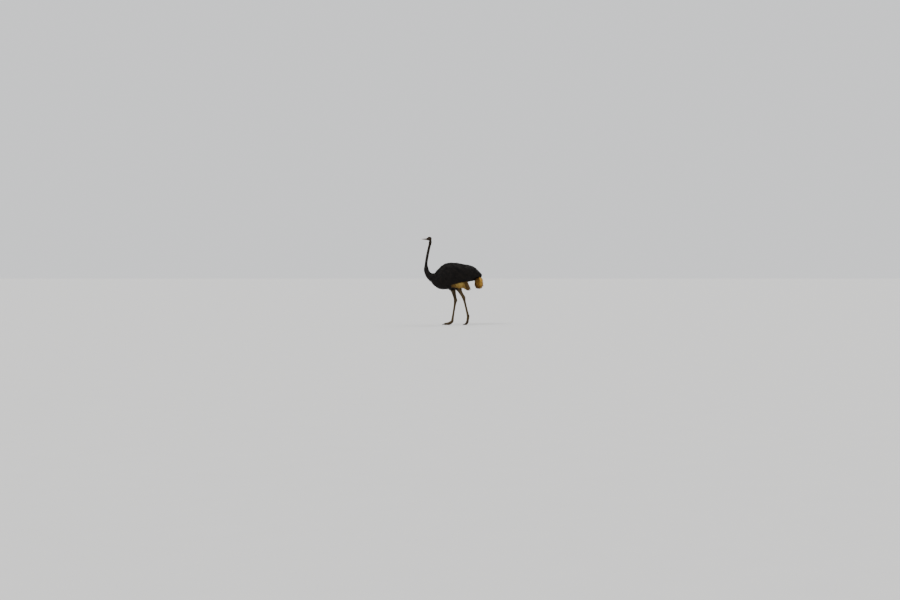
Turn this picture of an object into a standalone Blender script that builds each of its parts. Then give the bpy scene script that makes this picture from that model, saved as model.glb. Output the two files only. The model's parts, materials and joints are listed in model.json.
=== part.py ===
"""Life-size ostrich, an adult cock in mid stride, modelled as a still figure.

The bird faces -Y, its left side is +X and it stands on the floor at z = 0.
The right foot is planted flat ahead of the body, and the left foot trails,
standing on the last pad of its large toe. Lengths are in metres.

Trunk and neck are one ladder of rungs. A rung joins a point of the upper
outline to a point of the lower outline, so the side view is exactly the
ladder's two rails, and thin cuts between rungs part the named pieces.
"""

from collections import namedtuple
from math import cos, pi, radians, sin

import bmesh
import bpy
from mathutils import Vector

# ---- driving dimensions ---------------------------------------------------

GAP = 0.0004           # the thin cut between two neighbouring pieces
CUT = 0.0008           # how much a cutter is grown beyond the piece it copies

Rung = namedtuple("Rung", "top_y top_z low_y low_z half_width")

# From the tip of the rump forwards along the back, and up the neck.
LADDER = (
    Rung(0.652, 1.124, 0.650, 1.106, 0.012),
    Rung(0.638, 1.150, 0.628, 1.082, 0.046),
    Rung(0.580, 1.226, 0.553, 1.030, 0.112),
    Rung(0.494, 1.308, 0.461, 0.992, 0.165),
    Rung(0.386, 1.346, 0.360, 0.974, 0.200),
    Rung(0.259, 1.368, 0.247, 0.937, 0.220),
    Rung(0.112, 1.398, 0.101, 0.886, 0.232),
    Rung(-0.022, 1.408, -0.045, 0.822, 0.234),
    Rung(-0.148, 1.390, -0.180, 0.800, 0.226),
    Rung(-0.252, 1.333, -0.304, 0.812, 0.206),
    Rung(-0.335, 1.252, -0.403, 0.872, 0.172),
    Rung(-0.403, 1.183, -0.486, 0.954, 0.132),
    Rung(-0.461, 1.172, -0.558, 1.015, 0.098),
    Rung(-0.503, 1.203, -0.608, 1.097, 0.076),
    Rung(-0.526, 1.250, -0.640, 1.186, 0.062),
    Rung(-0.542, 1.296, -0.648, 1.270, 0.051),
    Rung(-0.5594, 1.3451, -0.6296, 1.3429, 0.0378),
    Rung(-0.5558, 1.4294, -0.6172, 1.4376, 0.0319),
    Rung(-0.5366, 1.5443, -0.5974, 1.5537, 0.031),
    Rung(-0.5147, 1.6573, -0.5743, 1.6667, 0.0304),
    Rung(-0.4928, 1.7564, -0.5513, 1.7646, 0.031),
    Rung(-0.4736, 1.8235, -0.5374, 1.8305, 0.0331),
    Rung(-0.463, 1.8786, -0.535, 1.8634, 0.0338),
    Rung(-0.476, 1.925, -0.520, 1.920, 0.0260),
)
NECK_ROOT = 11.5       # the rung where the neck leaves the trunk
NECK_RUFF = 16.0       # the rung where the body plumage ends on the neck
NECK_MIDDLE = 19.0     # the rung between the middle and the upper neck
NECK_END = 23.0        # the last rung, inside the head
TRUNK_SQUARENESS = 2.2
TRUNK_SIDES = 26
NECK_SIDES = 16
BODY_STEP = 0.6        # rungs from one section to the next
RUNG_GAP = 0.008       # the thin cut between two lengths of the neck, in rungs

# The head runs forwards from its occiput. A row holds the distance from the
# occiput, half the width, and the crown and jaw from the line of the mouth.
OCCIPUT_Y = -0.467
MOUTH_Z = 1.930
HEAD = (
    (0.001, 0.012, 0.026, -0.004),
    (0.009, 0.0225, 0.040, -0.017),
    (0.024, 0.0300, 0.0505, -0.028),
    (0.042, 0.0350, 0.0560, -0.033),
    (0.062, 0.0385, 0.0565, -0.033),
    (0.080, 0.0365, 0.0500, -0.029),
    (0.095, 0.0310, 0.0370, -0.0245),
    (0.108, 0.0280, 0.0265, -0.0205),
    (0.125, 0.0262, 0.0195, -0.0175),
    (0.150, 0.0240, 0.0150, -0.0145),
    (0.175, 0.0215, 0.0122, -0.0118),
    (0.198, 0.0178, 0.0098, -0.0085),
    (0.215, 0.0130, 0.0070, -0.0052),
    (0.223, 0.0075, 0.0030, -0.0034),
    (0.2260, 0.0025, -0.0002, -0.0022),
)
BILL_ROOT = 7.0        # the head row where the horny bill begins
BILL_TIP_THICKNESS = 0.0008
HEAD_SQUARENESS = 2.3
HEAD_SIDES = 18
HEAD_STEP = 0.7        # rows from one section to the next
EYE_RADIUS = 0.0210
EYE_FROM_OCCIPUT = 0.064
EYE_ABOVE_MOUTH = 0.0225
EYE_OFFSET = 0.0225    # from the mid plane to the eyeball's centre

# One leg: knee, hock and ball of the foot as (x, y, z).
Leg = namedtuple("Leg", "side knee hock ball")
LEFT_LEG = Leg(1, (0.125, -0.020, 1.078), (0.098, 0.252, 0.620), (0.078, 0.352, 0.200))
RIGHT_LEG = Leg(-1, (-0.125, -0.054, 1.072), (-0.078, 0.070, 0.558), (-0.026, -0.006, 0.078))
# Share of the way down the bone, half the depth, half the width.
DRUMSTICK = (
    (0.00, 0.120, 0.070),
    (0.20, 0.115, 0.073),
    (0.40, 0.086, 0.061),
    (0.60, 0.055, 0.045),
    (0.78, 0.041, 0.036),
    (0.92, 0.037, 0.033),
)
SHANK = (
    (0.00, 0.0405, 0.0370),
    (0.07, 0.0350, 0.0325),
    (0.18, 0.0265, 0.0245),
    (0.48, 0.0225, 0.0205),
    (0.78, 0.0235, 0.0225),
)
ANKLE_ABOVE_BALL = 0.034      # where the shank ends and the large toe begins
ANKLE = (0.0285, 0.0285)      # half the depth and width there
BALL = (0.0330, 0.0305)
HOCK_CUT = (6.12, 6.14)       # the leg's rows between which thigh and shank part
LEG_SIDES = 16
LEG_STEP = 0.55
TOE_SIDES = 14
TOE_STEP = 0.75
TOE_SQUARENESS = 2.4
CLAW_SIDES = 8

# Toe rows: x and y from the ball of the foot, z from the floor, then half the
# height and half the width. The soles are levelled off at the floor.
FLAT_LARGE_TOE = (
    (0.001, -0.030, 0.056, 0.032, 0.0290),
    (0.002, -0.064, 0.036, 0.034, 0.0280),
    (0.003, -0.104, 0.026, 0.030, 0.0272),
    (0.004, -0.144, 0.023, 0.027, 0.0262),
    (0.005, -0.172, 0.020, 0.023, 0.0228),
    (0.005, -0.188, 0.018, 0.018, 0.0175),
)
FLAT_SMALL_TOE = (
    (0.008, -0.004, 0.066, 0.020, 0.0190),
    (0.024, -0.028, 0.042, 0.024, 0.0200),
    (0.037, -0.058, 0.024, 0.024, 0.0190),
    (0.047, -0.086, 0.0185, 0.021, 0.0175),
    (0.054, -0.104, 0.016, 0.017, 0.0140),
)
PUSHING_LARGE_TOE = (
    (0.000, -0.003, 0.160, 0.030, 0.0280),
    (0.001, -0.010, 0.118, 0.029, 0.0270),
    (0.002, -0.017, 0.076, 0.029, 0.0268),
    (0.003, -0.031, 0.041, 0.029, 0.0265),
    (0.004, -0.057, 0.0240, 0.026, 0.0250),
    (0.004, -0.078, 0.0200, 0.0205, 0.0205),
)
PUSHING_SMALL_TOE = (
    (0.008, 0.006, 0.182, 0.019, 0.0180),
    (0.022, 0.000, 0.150, 0.022, 0.0190),
    (0.033, -0.008, 0.118, 0.022, 0.0185),
    (0.042, -0.018, 0.088, 0.019, 0.0165),
    (0.048, -0.027, 0.070, 0.015, 0.0130),
)
LARGE_CLAW = 0.052
SMALL_CLAW = 0.020
CLAW_ROOT = 0.006      # how deep a claw is set into its toe
CLAW_ABOVE_FLOOR = 0.0015
CLAW_CURVE = 0.16      # how far the tip turns down, as a share of the length
# Share of the claw's length and of its size at the root.
CLAW = ((0.0, 1.0), (0.35, 0.92), (0.7, 0.66), (0.92, 0.36), (1.0, 0.18))

# The folded wing is a patch laid on the trunk's side, from the shoulder back.
WING_SHOULDER = 9.7    # rungs
WING_TIP = 2.5
WING_STEPS = 20
WING_ROWS = 5
WING_LOBES = 5         # the coverts' lobes along the hem
WING_PLUMPNESS = 0.044
WING_EDGE = 0.005
WING_DEPTH = 0.030     # how deep the wing's back face lies in the trunk

# The pale plumes under the wing, from the foremost to the last and longest.
Plume = namedtuple("Plume", "root bow tip")
WING_PLUMES = 7
PLUME_FIRST_Y = 0.020
PLUME_LAST_Y = 0.320
PLUME_FROM_MIDDLE = (0.226, 0.192)     # the first and the last plume's bow
PLUME_ROOT_Z = 0.990
PLUME_BOW_Z = 0.930
PLUME_TIP_Z = 0.850
PLUME_LAST_DROP = 0.064                # how much lower the last plume's tip hangs
PLUME_WIDTH = 0.066
PLUME_THICKNESS = 0.030
PLUME_SIDES = 6
PLUME_STEPS = 4

# The tail's drooping bunch, from its root under the rump down to its tips:
# height, middle, half the width and half the depth.
TAIL = (
    (1.120, 0.560, 0.050, 0.040),
    (1.088, 0.576, 0.094, 0.078),
    (1.040, 0.590, 0.122, 0.096),
    (0.965, 0.594, 0.137, 0.0955),
    (0.868, 0.593, 0.136, 0.086),
    (0.802, 0.597, 0.118, 0.072),
)
TAIL_LOBES = 11        # the plumes' rounded ends round the bunch
TAIL_LOBE_SIDES = 4
TAIL_LOBE_DEPTH = 0.10
TAIL_NOTCH = 0.022     # how far the gaps run up between the tips
TAIL_HOLLOW = 0.014    # how far the bunch is open from below

COLOURS = {
    "black_plumage": ((0.012, 0.011, 0.011), 0.75),
    "neck_down": ((0.045, 0.036, 0.028), 0.80),
    "face_skin": ((0.16, 0.11, 0.075), 0.65),
    "bill_horn": ((0.14, 0.105, 0.07), 0.45),
    "eye": ((0.02, 0.012, 0.008), 0.08),
    "white_plumes": ((0.56, 0.44, 0.25), 0.80),
    "tail_plumes": ((0.38, 0.24, 0.09), 0.80),
    "leg_skin": ((0.13, 0.10, 0.06), 0.70),
    "claw_horn": ((0.05, 0.038, 0.028), 0.40),
}


# ---- curves and sections --------------------------------------------------

def row_at(rows, place):
    """The row at a real-valued place, on a smooth curve through all the rows."""
    last = len(rows) - 1
    first = min(max(int(place), 0), last - 1)
    share = place - first
    before, start, end, after = (rows[min(max(first + k, 0), last)] for k in (-1, 0, 1, 2))
    mixed = []
    for a, b, c, d in zip(before, start, end, after):
        slope_in = (c - a) / 2
        slope_out = (d - b) / 2
        mixed.append(
            b
            + slope_in * share
            + (3 * (c - b) - 2 * slope_in - slope_out) * share**2
            + (2 * (b - c) + slope_in + slope_out) * share**3
        )
    return mixed


def places(start, end, step):
    """Evenly spread places from start to end, about a step apart."""
    count = max(1, round(abs(end - start) / step))
    return [start + (end - start) * k / count for k in range(count + 1)]


def rounded(value, squareness):
    """A sine or cosine drawn out towards the corners of its box."""
    power = 2 / squareness
    return abs(value) ** power * (1 if value >= 0 else -1)


def oval(centre, up, side, sides, squareness=2.0):
    """A closed section round centre. up and side are its two half axes."""
    turns = [2 * pi * k / sides for k in range(sides)]
    return [
        centre + up * rounded(cos(a), squareness) + side * rounded(sin(a), squareness)
        for a in turns
    ]


def rung_axes(place, grow=0.0):
    """Centre and half axes of the body's section at a place on the ladder."""
    rung = Rung(*row_at(LADDER, place))
    top = Vector((0, rung.top_y, rung.top_z))
    low = Vector((0, rung.low_y, rung.low_z))
    up = (top - low) / 2
    up += up.normalized() * grow
    return (top + low) / 2, up, Vector((rung.half_width + grow, 0, 0))


def body_ring(place, sides, grow=0.0):
    """The body's closed section at a place on the ladder."""
    centre, up, side = rung_axes(place, grow)
    return oval(centre, up, side, sides, TRUNK_SQUARENESS)


def body_point(place, angle, grow):
    """A point on the body's side, turned by angle from the back's middle line."""
    centre, up, side = rung_axes(place, grow)
    return (
        centre
        + up * rounded(cos(angle), TRUNK_SQUARENESS)
        + side * rounded(sin(angle), TRUNK_SQUARENESS)
    )


def tube_rings(rows, step, sides, grow=0.0, squareness=2.0, floor=None, start=0, end=None):
    """Sections square to a path. A row is x, y, z, half depth, half width."""
    rings = []
    for place in places(start, len(rows) - 1 if end is None else end, step):
        here = row_at(rows, place)
        ahead = row_at(rows, min(place + 0.05, len(rows) - 1))
        behind = row_at(rows, max(place - 0.05, 0))
        along = (Vector(ahead[:3]) - Vector(behind[:3])).normalized()
        side = Vector((1, 0, 0))
        side = (side - side.dot(along) * along).normalized()
        up = side.cross(along)
        ring = oval(Vector(here[:3]), up * (here[3] + grow), side * (here[4] + grow), sides, squareness)
        if floor is not None:
            for point in ring:
                point.z = max(point.z, floor)
        rings.append(ring)
    return rings


# ---- solids ---------------------------------------------------------------

def finish(name, mesh, material):
    """Links a mesh into the scene as one named, smooth-shaded piece."""
    mesh.shade_smooth()
    mesh.set_sharp_from_angle(angle=radians(50))
    piece = bpy.data.objects.new(name, mesh)
    bpy.context.collection.objects.link(piece)
    mesh.materials.append(bpy.data.materials[material])
    return piece


def stretched(rings, length):
    """The rings with both end rings pushed outwards."""
    for ends, inner in ((rings[0], rings[1]), (rings[-1], rings[-2])):
        outwards = (ends[0] - inner[0] + ends[len(ends) // 2] - inner[len(inner) // 2]).normalized()
        for point in ends:
            point += outwards * length
    return rings


def loft(name, rings, material):
    """A closed solid through a row of sections, with flat ends."""
    shape = bmesh.new()
    loops = []
    for ring in rings:
        corners = [shape.verts.new(point) for point in ring]
        loops.append([shape.edges.new((a, b)) for a, b in zip(corners, corners[1:] + corners[:1])])
    for first, second in zip(loops, loops[1:]):
        bmesh.ops.bridge_loops(shape, edges=first + second)
    bmesh.ops.edgeloop_fill(shape, edges=loops[0])
    bmesh.ops.edgeloop_fill(shape, edges=loops[-1])
    bmesh.ops.recalc_face_normals(shape, faces=shape.faces)
    bmesh.ops.triangulate(shape, faces=shape.faces, quad_method="FIXED")
    mesh = bpy.data.meshes.new(name)
    shape.to_mesh(mesh)
    shape.free()
    return finish(name, mesh, material)


def helper(piece):
    """Marks a piece as a cutter or a building block that the build leaves out."""
    piece.hide_render = True
    piece.display_type = "WIRE"
    return piece


def boolean(piece, other, operation="DIFFERENCE"):
    """Cuts other out of piece, or joins it on."""
    modifier = piece.modifiers.new(operation.title(), "BOOLEAN")
    modifier.operation = operation
    modifier.solver = "EXACT"
    modifier.object = other


def ball(name, centre, radius, material):
    """An eyeball, with its poles to the left and right."""
    shape = bmesh.new()
    bmesh.ops.create_uvsphere(shape, u_segments=14, v_segments=8, radius=radius)
    for corner in shape.verts:
        corner.co = Vector((corner.co.z, corner.co.x, corner.co.y)) + centre
    mesh = bpy.data.meshes.new(name)
    shape.to_mesh(mesh)
    shape.free()
    return finish(name, mesh, material)


def plume_rings(plume):
    """A hanging plume: narrow at its root, broad and rounded at its tip."""
    root, bow, tip = (Vector(point) for point in plume)
    rings = []
    for t in places(0, 1, 1 / PLUME_STEPS):
        centre = root * (1 - t) ** 2 + bow * (2 * t * (1 - t)) + tip * t**2
        along = ((bow - root) * (1 - t) + (tip - bow) * t).normalized()
        side = Vector((0, 1, 0))
        side = (side - side.dot(along) * along).normalized()
        swell = 0.45 + 0.55 * sin(pi / 2 * min(t / 0.7, 1.0))
        taper = (1 - max(0.0, (t - 0.6) / 0.4) ** 2 * 0.94) ** 0.5
        breadth = PLUME_WIDTH / 2 * swell * taper
        depth = PLUME_THICKNESS / 2 * taper
        rings.append(oval(centre, side.cross(along) * depth, side * breadth, PLUME_SIDES))
    return rings


def bunch(name, plumes, material):
    """Several overlapping plumes as one solid."""
    first, *rest = [loft(f"{name}_{k}", plume_rings(p), material) for k, p in enumerate(plumes)]
    for other in rest:
        boolean(first, helper(other), "UNION")
    first.name = name
    return first


# ---- the bird -------------------------------------------------------------

def make_materials():
    """One Principled material for each finish."""
    for name, (colour, roughness) in COLOURS.items():
        material = bpy.data.materials.new(name)
        material.use_nodes = True
        shader = material.node_tree.nodes["Principled BSDF"]
        shader.inputs["Base Color"].default_value = (*colour, 1)
        shader.inputs["Roughness"].default_value = roughness
        shader.inputs["Metallic"].default_value = 0.0


def body_length(name, start, end, sides, material, grow=0.0):
    """A length of the trunk or neck between two places on the ladder."""
    rings = [body_ring(p, sides, grow) for p in places(start, end, BODY_STEP)]
    return loft(name, stretched(rings, grow), material)


def make_trunk():
    """The trunk in its plumage, and the cutter that other pieces fit against."""
    trunk = body_length("trunk", 0, NECK_ROOT, TRUNK_SIDES, "black_plumage")
    cutter = helper(body_length("trunk_cutter", 0, NECK_ROOT, TRUNK_SIDES, "black_plumage", CUT))
    return trunk, cutter


def head_rings(grow=0.0):
    """Sections of the head, from the occiput to the root of the bill."""
    rings = []
    for place in places(0, BILL_ROOT, HEAD_STEP):
        forward, half_width, crown, jaw = row_at(HEAD, place)
        centre = Vector((0, OCCIPUT_Y - forward, MOUTH_Z + (crown + jaw) / 2))
        up = Vector((0, 0, (crown - jaw) / 2 + grow))
        side = Vector((half_width + grow, 0, 0))
        rings.append(oval(centre, up, side, HEAD_SIDES, HEAD_SQUARENESS))
    return rings


def bill_half(name, sign):
    """The upper or the lower half of the bill, cut along the mouth."""
    rings = []
    for place in places(BILL_ROOT + 0.04, len(HEAD) - 1, 1.0):
        forward, half_width, crown, jaw = row_at(HEAD, place)
        height = (crown if sign > 0 else -jaw) - GAP
        base = Vector((0, OCCIPUT_Y - forward, MOUTH_Z + sign * GAP))
        across = Vector((half_width, 0, 0))
        upwards = Vector((0, 0, sign * max(height, BILL_TIP_THICKNESS)))
        rings.append([
            base + across * rounded(cos(a), HEAD_SQUARENESS) + upwards * rounded(sin(a), HEAD_SQUARENESS)
            for a in places(0, pi, pi / 8)
        ])
    return loft(name, rings, "bill_horn")


def make_head_and_neck():
    """Neck in three lengths, head, bill and eyes."""
    body_length("neck_lower", NECK_ROOT + RUNG_GAP, NECK_RUFF, NECK_SIDES, "black_plumage")
    body_length("neck_middle", NECK_RUFF + RUNG_GAP, NECK_MIDDLE, NECK_SIDES, "neck_down")
    upper = body_length("neck_upper", NECK_MIDDLE + RUNG_GAP, NECK_END, NECK_SIDES, "neck_down")
    head = loft("head", head_rings(), "face_skin")
    cutter = loft("head_cutter", head_rings(CUT), "face_skin")
    boolean(upper, helper(cutter))
    for side, word in ((1, "left"), (-1, "right")):
        centre = Vector((side * EYE_OFFSET, OCCIPUT_Y - EYE_FROM_OCCIPUT, MOUTH_Z + EYE_ABOVE_MOUTH))
        ball(f"eye_{word}", centre, EYE_RADIUS, "eye")
        boolean(head, helper(ball(f"eye_{word}_cutter", centre, EYE_RADIUS + CUT, "eye")))
    bill_half("bill_upper", 1)
    bill_half("bill_lower", -1)


def ankle_point(leg, below=0.0):
    """Where the shank ends, a little above the ball of the foot."""
    hock, ball_point = Vector(leg.hock), Vector(leg.ball)
    down = (ball_point - hock).normalized()
    return ball_point - down * (ANKLE_ABOVE_BALL - below)


def leg_rows(leg):
    """Path and thickness of a leg from the knee to the ankle."""
    knee, hock, ankle = Vector(leg.knee), Vector(leg.hock), ankle_point(leg)
    upper = [(*knee.lerp(hock, share), depth, width) for share, depth, width in DRUMSTICK]
    lower = [(*hock.lerp(ankle, share), depth, width) for share, depth, width in SHANK]
    return upper + lower + [(*ankle, *ANKLE)]


def toe_rows(rows, leg):
    """A toe's rows brought to its foot, with the small toe outermost."""
    x, y, _ = leg.ball
    return [(x + leg.side * across, y + along, *rest) for across, along, *rest in rows]


def ball_rows(leg):
    """The rows that lead the large toe down from the ankle through the ball."""
    halfway = tuple(sum(pair) / 2 for pair in zip(ANKLE, BALL))
    return [
        (*ankle_point(leg, GAP), *ANKLE),
        (*ankle_point(leg, ANKLE_ABOVE_BALL / 2), *halfway),
        (*leg.ball, *BALL),
    ]


def claw_rows(rows, length):
    """A claw that carries the toe's line on, curving down to a blunt point."""
    tip, before = Vector(rows[-1][:3]), Vector(rows[-2][:3])
    along = (tip - before).normalized()
    depth, width = rows[-1][3] * 0.72, rows[-1][4] * 0.80
    made = []
    for share, size in CLAW:
        centre = tip + along * (length * share - CLAW_ROOT)
        centre.z = max(centre.z - CLAW_CURVE * length * share**2, depth * size + CLAW_ABOVE_FLOOR)
        made.append((*centre, depth * size, width * size))
    return made


def make_leg(leg, word, large_toe, small_toe, cutters):
    """Drumstick, shank, toes and claws of one leg, under the trunk and wing."""
    rows = leg_rows(leg)
    thigh_end, shank_start = HOCK_CUT

    def limb(name, start, end, grow=0.0):
        rings = tube_rings(rows, LEG_STEP, LEG_SIDES, grow, start=start, end=end)
        return loft(name, stretched(rings, grow), "leg_skin")

    thigh = limb(f"thigh_{word}", 0, thigh_end)
    for cutter in cutters:
        boolean(thigh, cutter)
    thigh_cutter = helper(limb(f"thigh_{word}_cutter", 0, thigh_end, CUT))
    limb(f"shank_{word}", shank_start, len(rows) - 1)

    large = ball_rows(leg) + toe_rows(large_toe, leg)
    small = toe_rows(small_toe, leg)

    def toe(name, toe_path, grow=0.0):
        rings = tube_rings(toe_path, TOE_STEP, TOE_SIDES, grow, TOE_SQUARENESS, -grow)
        return loft(name, stretched(rings, grow), "leg_skin")

    toe(f"toe_large_{word}", large)
    small_piece = toe(f"toe_small_{word}", small)
    large_cutter = helper(toe(f"toe_large_{word}_cutter", large, CUT))
    small_cutter = helper(toe(f"toe_small_{word}_cutter", small, CUT))
    boolean(small_piece, large_cutter)
    claws = (("large", large, LARGE_CLAW, large_cutter), ("small", small, SMALL_CLAW, small_cutter))
    for size, toe_path, length, cutter in claws:
        rings = tube_rings(claw_rows(toe_path, length), 1.0, CLAW_SIDES, 0, 2.2, 0.0)
        boolean(loft(f"claw_{size}_{word}", rings, "claw_horn"), cutter)
    return thigh_cutter


def wing_edges(share):
    """The angles of a wing's upper edge and lobed hem, from shoulder 0 to tip 1."""
    share = min(max(share, 0.02), 0.98)
    spread = sin(pi * share**0.85) ** 0.6
    lobe = abs(sin(pi * WING_LOBES * share)) * spread
    upper = radians(76 - 38 * spread + 4 * share)
    hem = radians(90 + 40 * spread + 4 * share + 5 * lobe)
    return upper, hem


def wing_sheet(side, height_at, grow):
    """Rows of points over the wing's patch of the body, each at its own height."""
    sheet = []
    margin = grow / LADDER[int(WING_SHOULDER)].half_width
    for share in places(0, 1, 1 / WING_STEPS):
        place = WING_SHOULDER + (WING_TIP - WING_SHOULDER) * share
        upper, hem = wing_edges(share)
        upper -= margin
        hem += margin
        row = []
        for across in places(0, 1, 1 / WING_ROWS):
            point = body_point(place, upper + (hem - upper) * across, height_at(share, across))
            row.append(Vector((side * point.x, point.y, point.z)))
        sheet.append(row)
    return sheet


def wing_height(share, across):
    """How far the wing's coverts stand off the trunk."""
    lengthwise = max(sin(pi * share**0.75), 0.0) ** 0.7
    crosswise = sin(pi * 0.84 * across**0.9)
    return WING_EDGE + WING_PLUMPNESS * lengthwise * crosswise


def make_wing(side, word, grow=0.0):
    """A folded wing in its black coverts, as a thick patch on the flank."""
    outer = wing_sheet(side, lambda share, across: wing_height(share, across) + grow, grow)
    inner = wing_sheet(side, lambda share, across: -WING_DEPTH - grow, grow)
    rings = [outside + inside[::-1] for outside, inside in zip(outer, inner)]
    return loft(f"wing_{word}", stretched(rings, grow), "black_plumage")


def wing_plumes(side):
    """The pale plumes that hang out from under a wing's hem."""
    first_out, last_out = PLUME_FROM_MIDDLE
    plumes = []
    for share in places(0, 1, 1 / (WING_PLUMES - 1)):
        y = PLUME_FIRST_Y + (PLUME_LAST_Y - PLUME_FIRST_Y) * share
        out = first_out + (last_out - first_out) * share
        root = (side * (out - 0.045), y - 0.020, PLUME_ROOT_Z)
        bow = (side * out, y, PLUME_BOW_Z)
        tip = (side * (out - 0.022), y + 0.022, PLUME_TIP_Z - PLUME_LAST_DROP * share**3)
        plumes.append(Plume(root, bow, tip))
    return plumes


def tail_ring(height, middle, half_width, half_depth, lobed, lift=0.0):
    """A level section of the tail. lobed is the share of the full lobes."""
    ring = []
    for turn in places(0, 2 * pi, 2 * pi / (TAIL_LOBES * TAIL_LOBE_SIDES))[:-1]:
        lobe = cos(TAIL_LOBES * turn)
        size = 1 + TAIL_LOBE_DEPTH * lobed * lobe
        x = half_width * size * sin(turn)
        y = middle + half_depth * size * cos(turn)
        ring.append(Vector((x, y, height + lift * (1 - lobe) / 2)))
    return ring


def make_tail(trunk_cutter):
    """The tail's hanging bunch of plumes, fitted under the rump."""
    last = len(TAIL) - 1
    rings = [tail_ring(*row, k / last) for k, row in enumerate(TAIL[:-1])]
    height, middle, half_width, half_depth = TAIL[last]
    rings.append(tail_ring(height, middle, half_width, half_depth, 1.0, TAIL_NOTCH))
    inside = (height + TAIL_HOLLOW, middle, half_width * 0.6, half_depth * 0.6)
    rings.append(tail_ring(*inside, 0.0))
    boolean(loft("tail", rings, "tail_plumes"), trunk_cutter)


def main():
    """Clears the scene and builds the bird."""
    for old in list(bpy.data.objects):
        bpy.data.objects.remove(old)
    make_materials()
    _, trunk_cutter = make_trunk()
    make_head_and_neck()
    feet = (
        (LEFT_LEG, "left", PUSHING_LARGE_TOE, PUSHING_SMALL_TOE),
        (RIGHT_LEG, "right", FLAT_LARGE_TOE, FLAT_SMALL_TOE),
    )
    for leg, word, large_toe, small_toe in feet:
        boolean(make_wing(leg.side, word), trunk_cutter)
        wing_cutter = helper(make_wing(leg.side, f"{word}_cutter", CUT))
        thigh_cutter = make_leg(leg, word, large_toe, small_toe, (trunk_cutter, wing_cutter))
        plumes = bunch(f"wing_plumes_{word}", wing_plumes(leg.side), "white_plumes")
        for cutter in (trunk_cutter, wing_cutter, thigh_cutter):
            boolean(plumes, cutter)
    make_tail(trunk_cutter)


main()
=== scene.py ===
"""Dresses a life-size still ostrich: one skin, its horn, eyes and scutes, and its plumage.

The bird faces -Y and its left side is +X. Lengths are in metres. The skin is one mesh that
stands for every solid of flesh and lies inside them by the depth of the coat. Feathers are
solid meshes: a few small templates, repeated along spines that follow the lie of the coat.
"""

from __future__ import annotations

import json
import logging
import math
from dataclasses import dataclass, field
from enum import Enum
from typing import Any, Callable, Sequence

import bmesh
import bpy
import numpy as np
from mathutils import Matrix, Vector
from mathutils.bvhtree import BVHTree

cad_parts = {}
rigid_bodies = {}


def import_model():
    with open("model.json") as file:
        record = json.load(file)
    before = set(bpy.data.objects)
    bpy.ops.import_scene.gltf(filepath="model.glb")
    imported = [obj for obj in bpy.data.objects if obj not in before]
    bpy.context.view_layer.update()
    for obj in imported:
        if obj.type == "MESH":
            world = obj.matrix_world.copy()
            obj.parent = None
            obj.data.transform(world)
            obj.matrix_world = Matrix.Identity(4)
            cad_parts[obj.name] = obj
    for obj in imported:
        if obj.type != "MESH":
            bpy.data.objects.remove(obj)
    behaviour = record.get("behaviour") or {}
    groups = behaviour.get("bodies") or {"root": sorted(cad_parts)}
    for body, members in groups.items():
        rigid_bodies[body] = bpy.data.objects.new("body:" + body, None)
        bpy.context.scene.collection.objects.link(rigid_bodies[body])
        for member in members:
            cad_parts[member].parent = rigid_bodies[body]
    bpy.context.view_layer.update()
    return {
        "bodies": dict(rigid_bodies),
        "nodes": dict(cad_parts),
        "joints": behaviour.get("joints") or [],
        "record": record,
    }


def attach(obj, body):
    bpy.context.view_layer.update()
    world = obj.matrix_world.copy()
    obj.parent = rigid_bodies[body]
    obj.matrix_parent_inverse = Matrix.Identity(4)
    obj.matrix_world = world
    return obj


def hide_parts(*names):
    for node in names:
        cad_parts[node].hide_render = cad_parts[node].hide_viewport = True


LOG = logging.getLogger("ostrich")
Array = np.ndarray
Triple = tuple[float, float, float]
Mesh = bpy.types.Mesh
Material = bpy.types.Material
Socket = bpy.types.NodeSocket
Piece = bpy.types.Object
UP = np.array((0.0, 0.0, 1.0))


# ---- curves ----


def row_at(rows: Array, place: Array) -> Array:
    """Rows at real-valued places, on a smooth curve through all the rows.

    Args:
        rows: One row of numbers for each knot.
        place: Where to read, in knots.

    Returns:
        One row for each place.
    """
    last = len(rows) - 1
    place = np.asarray(place, float)
    first = np.clip(place.astype(int), 0, last - 1)
    share = (place - first)[..., None]
    before, start, end, after = (rows[np.clip(first + k, 0, last)] for k in (-1, 0, 1, 2))
    slope_in = (end - before) / 2
    slope_out = (after - start) / 2
    return (
        start
        + slope_in * share
        + (3 * (end - start) - 2 * slope_in - slope_out) * share**2
        + (2 * (start - end) + slope_in + slope_out) * share**3
    )


def between(rows: Array, knots: Array, marks: Array | float) -> Array:
    """Rows read at marks between their knots, on straight lines."""
    return np.stack([np.interp(marks, knots, rows[:, k]) for k in range(rows.shape[1])], -1)


def rounded(value: Array, squareness: float) -> Array:
    """A sine or cosine drawn out towards the corners of its box."""
    return np.sign(value) * np.abs(value) ** (2 / squareness)


def unit(vectors: Array) -> Array:
    """The vectors, each brought to a length of one."""
    return vectors / np.maximum(np.linalg.norm(vectors, axis=-1, keepdims=True), 1e-9)


def ease(value: Array, start: float, end: float) -> Array:
    """0 before start, 1 after end, and a smooth rise between them."""
    share = np.clip((np.asarray(value, float) - start) / (end - start), 0, 1)
    return share * share * (3 - 2 * share)


def hill(*offsets: Array) -> Array:
    """A smooth hill of height 1 where all the offsets are 0."""
    return np.exp(-sum(offset**2 for offset in offsets))


# ---- the bird's plan ----


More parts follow.
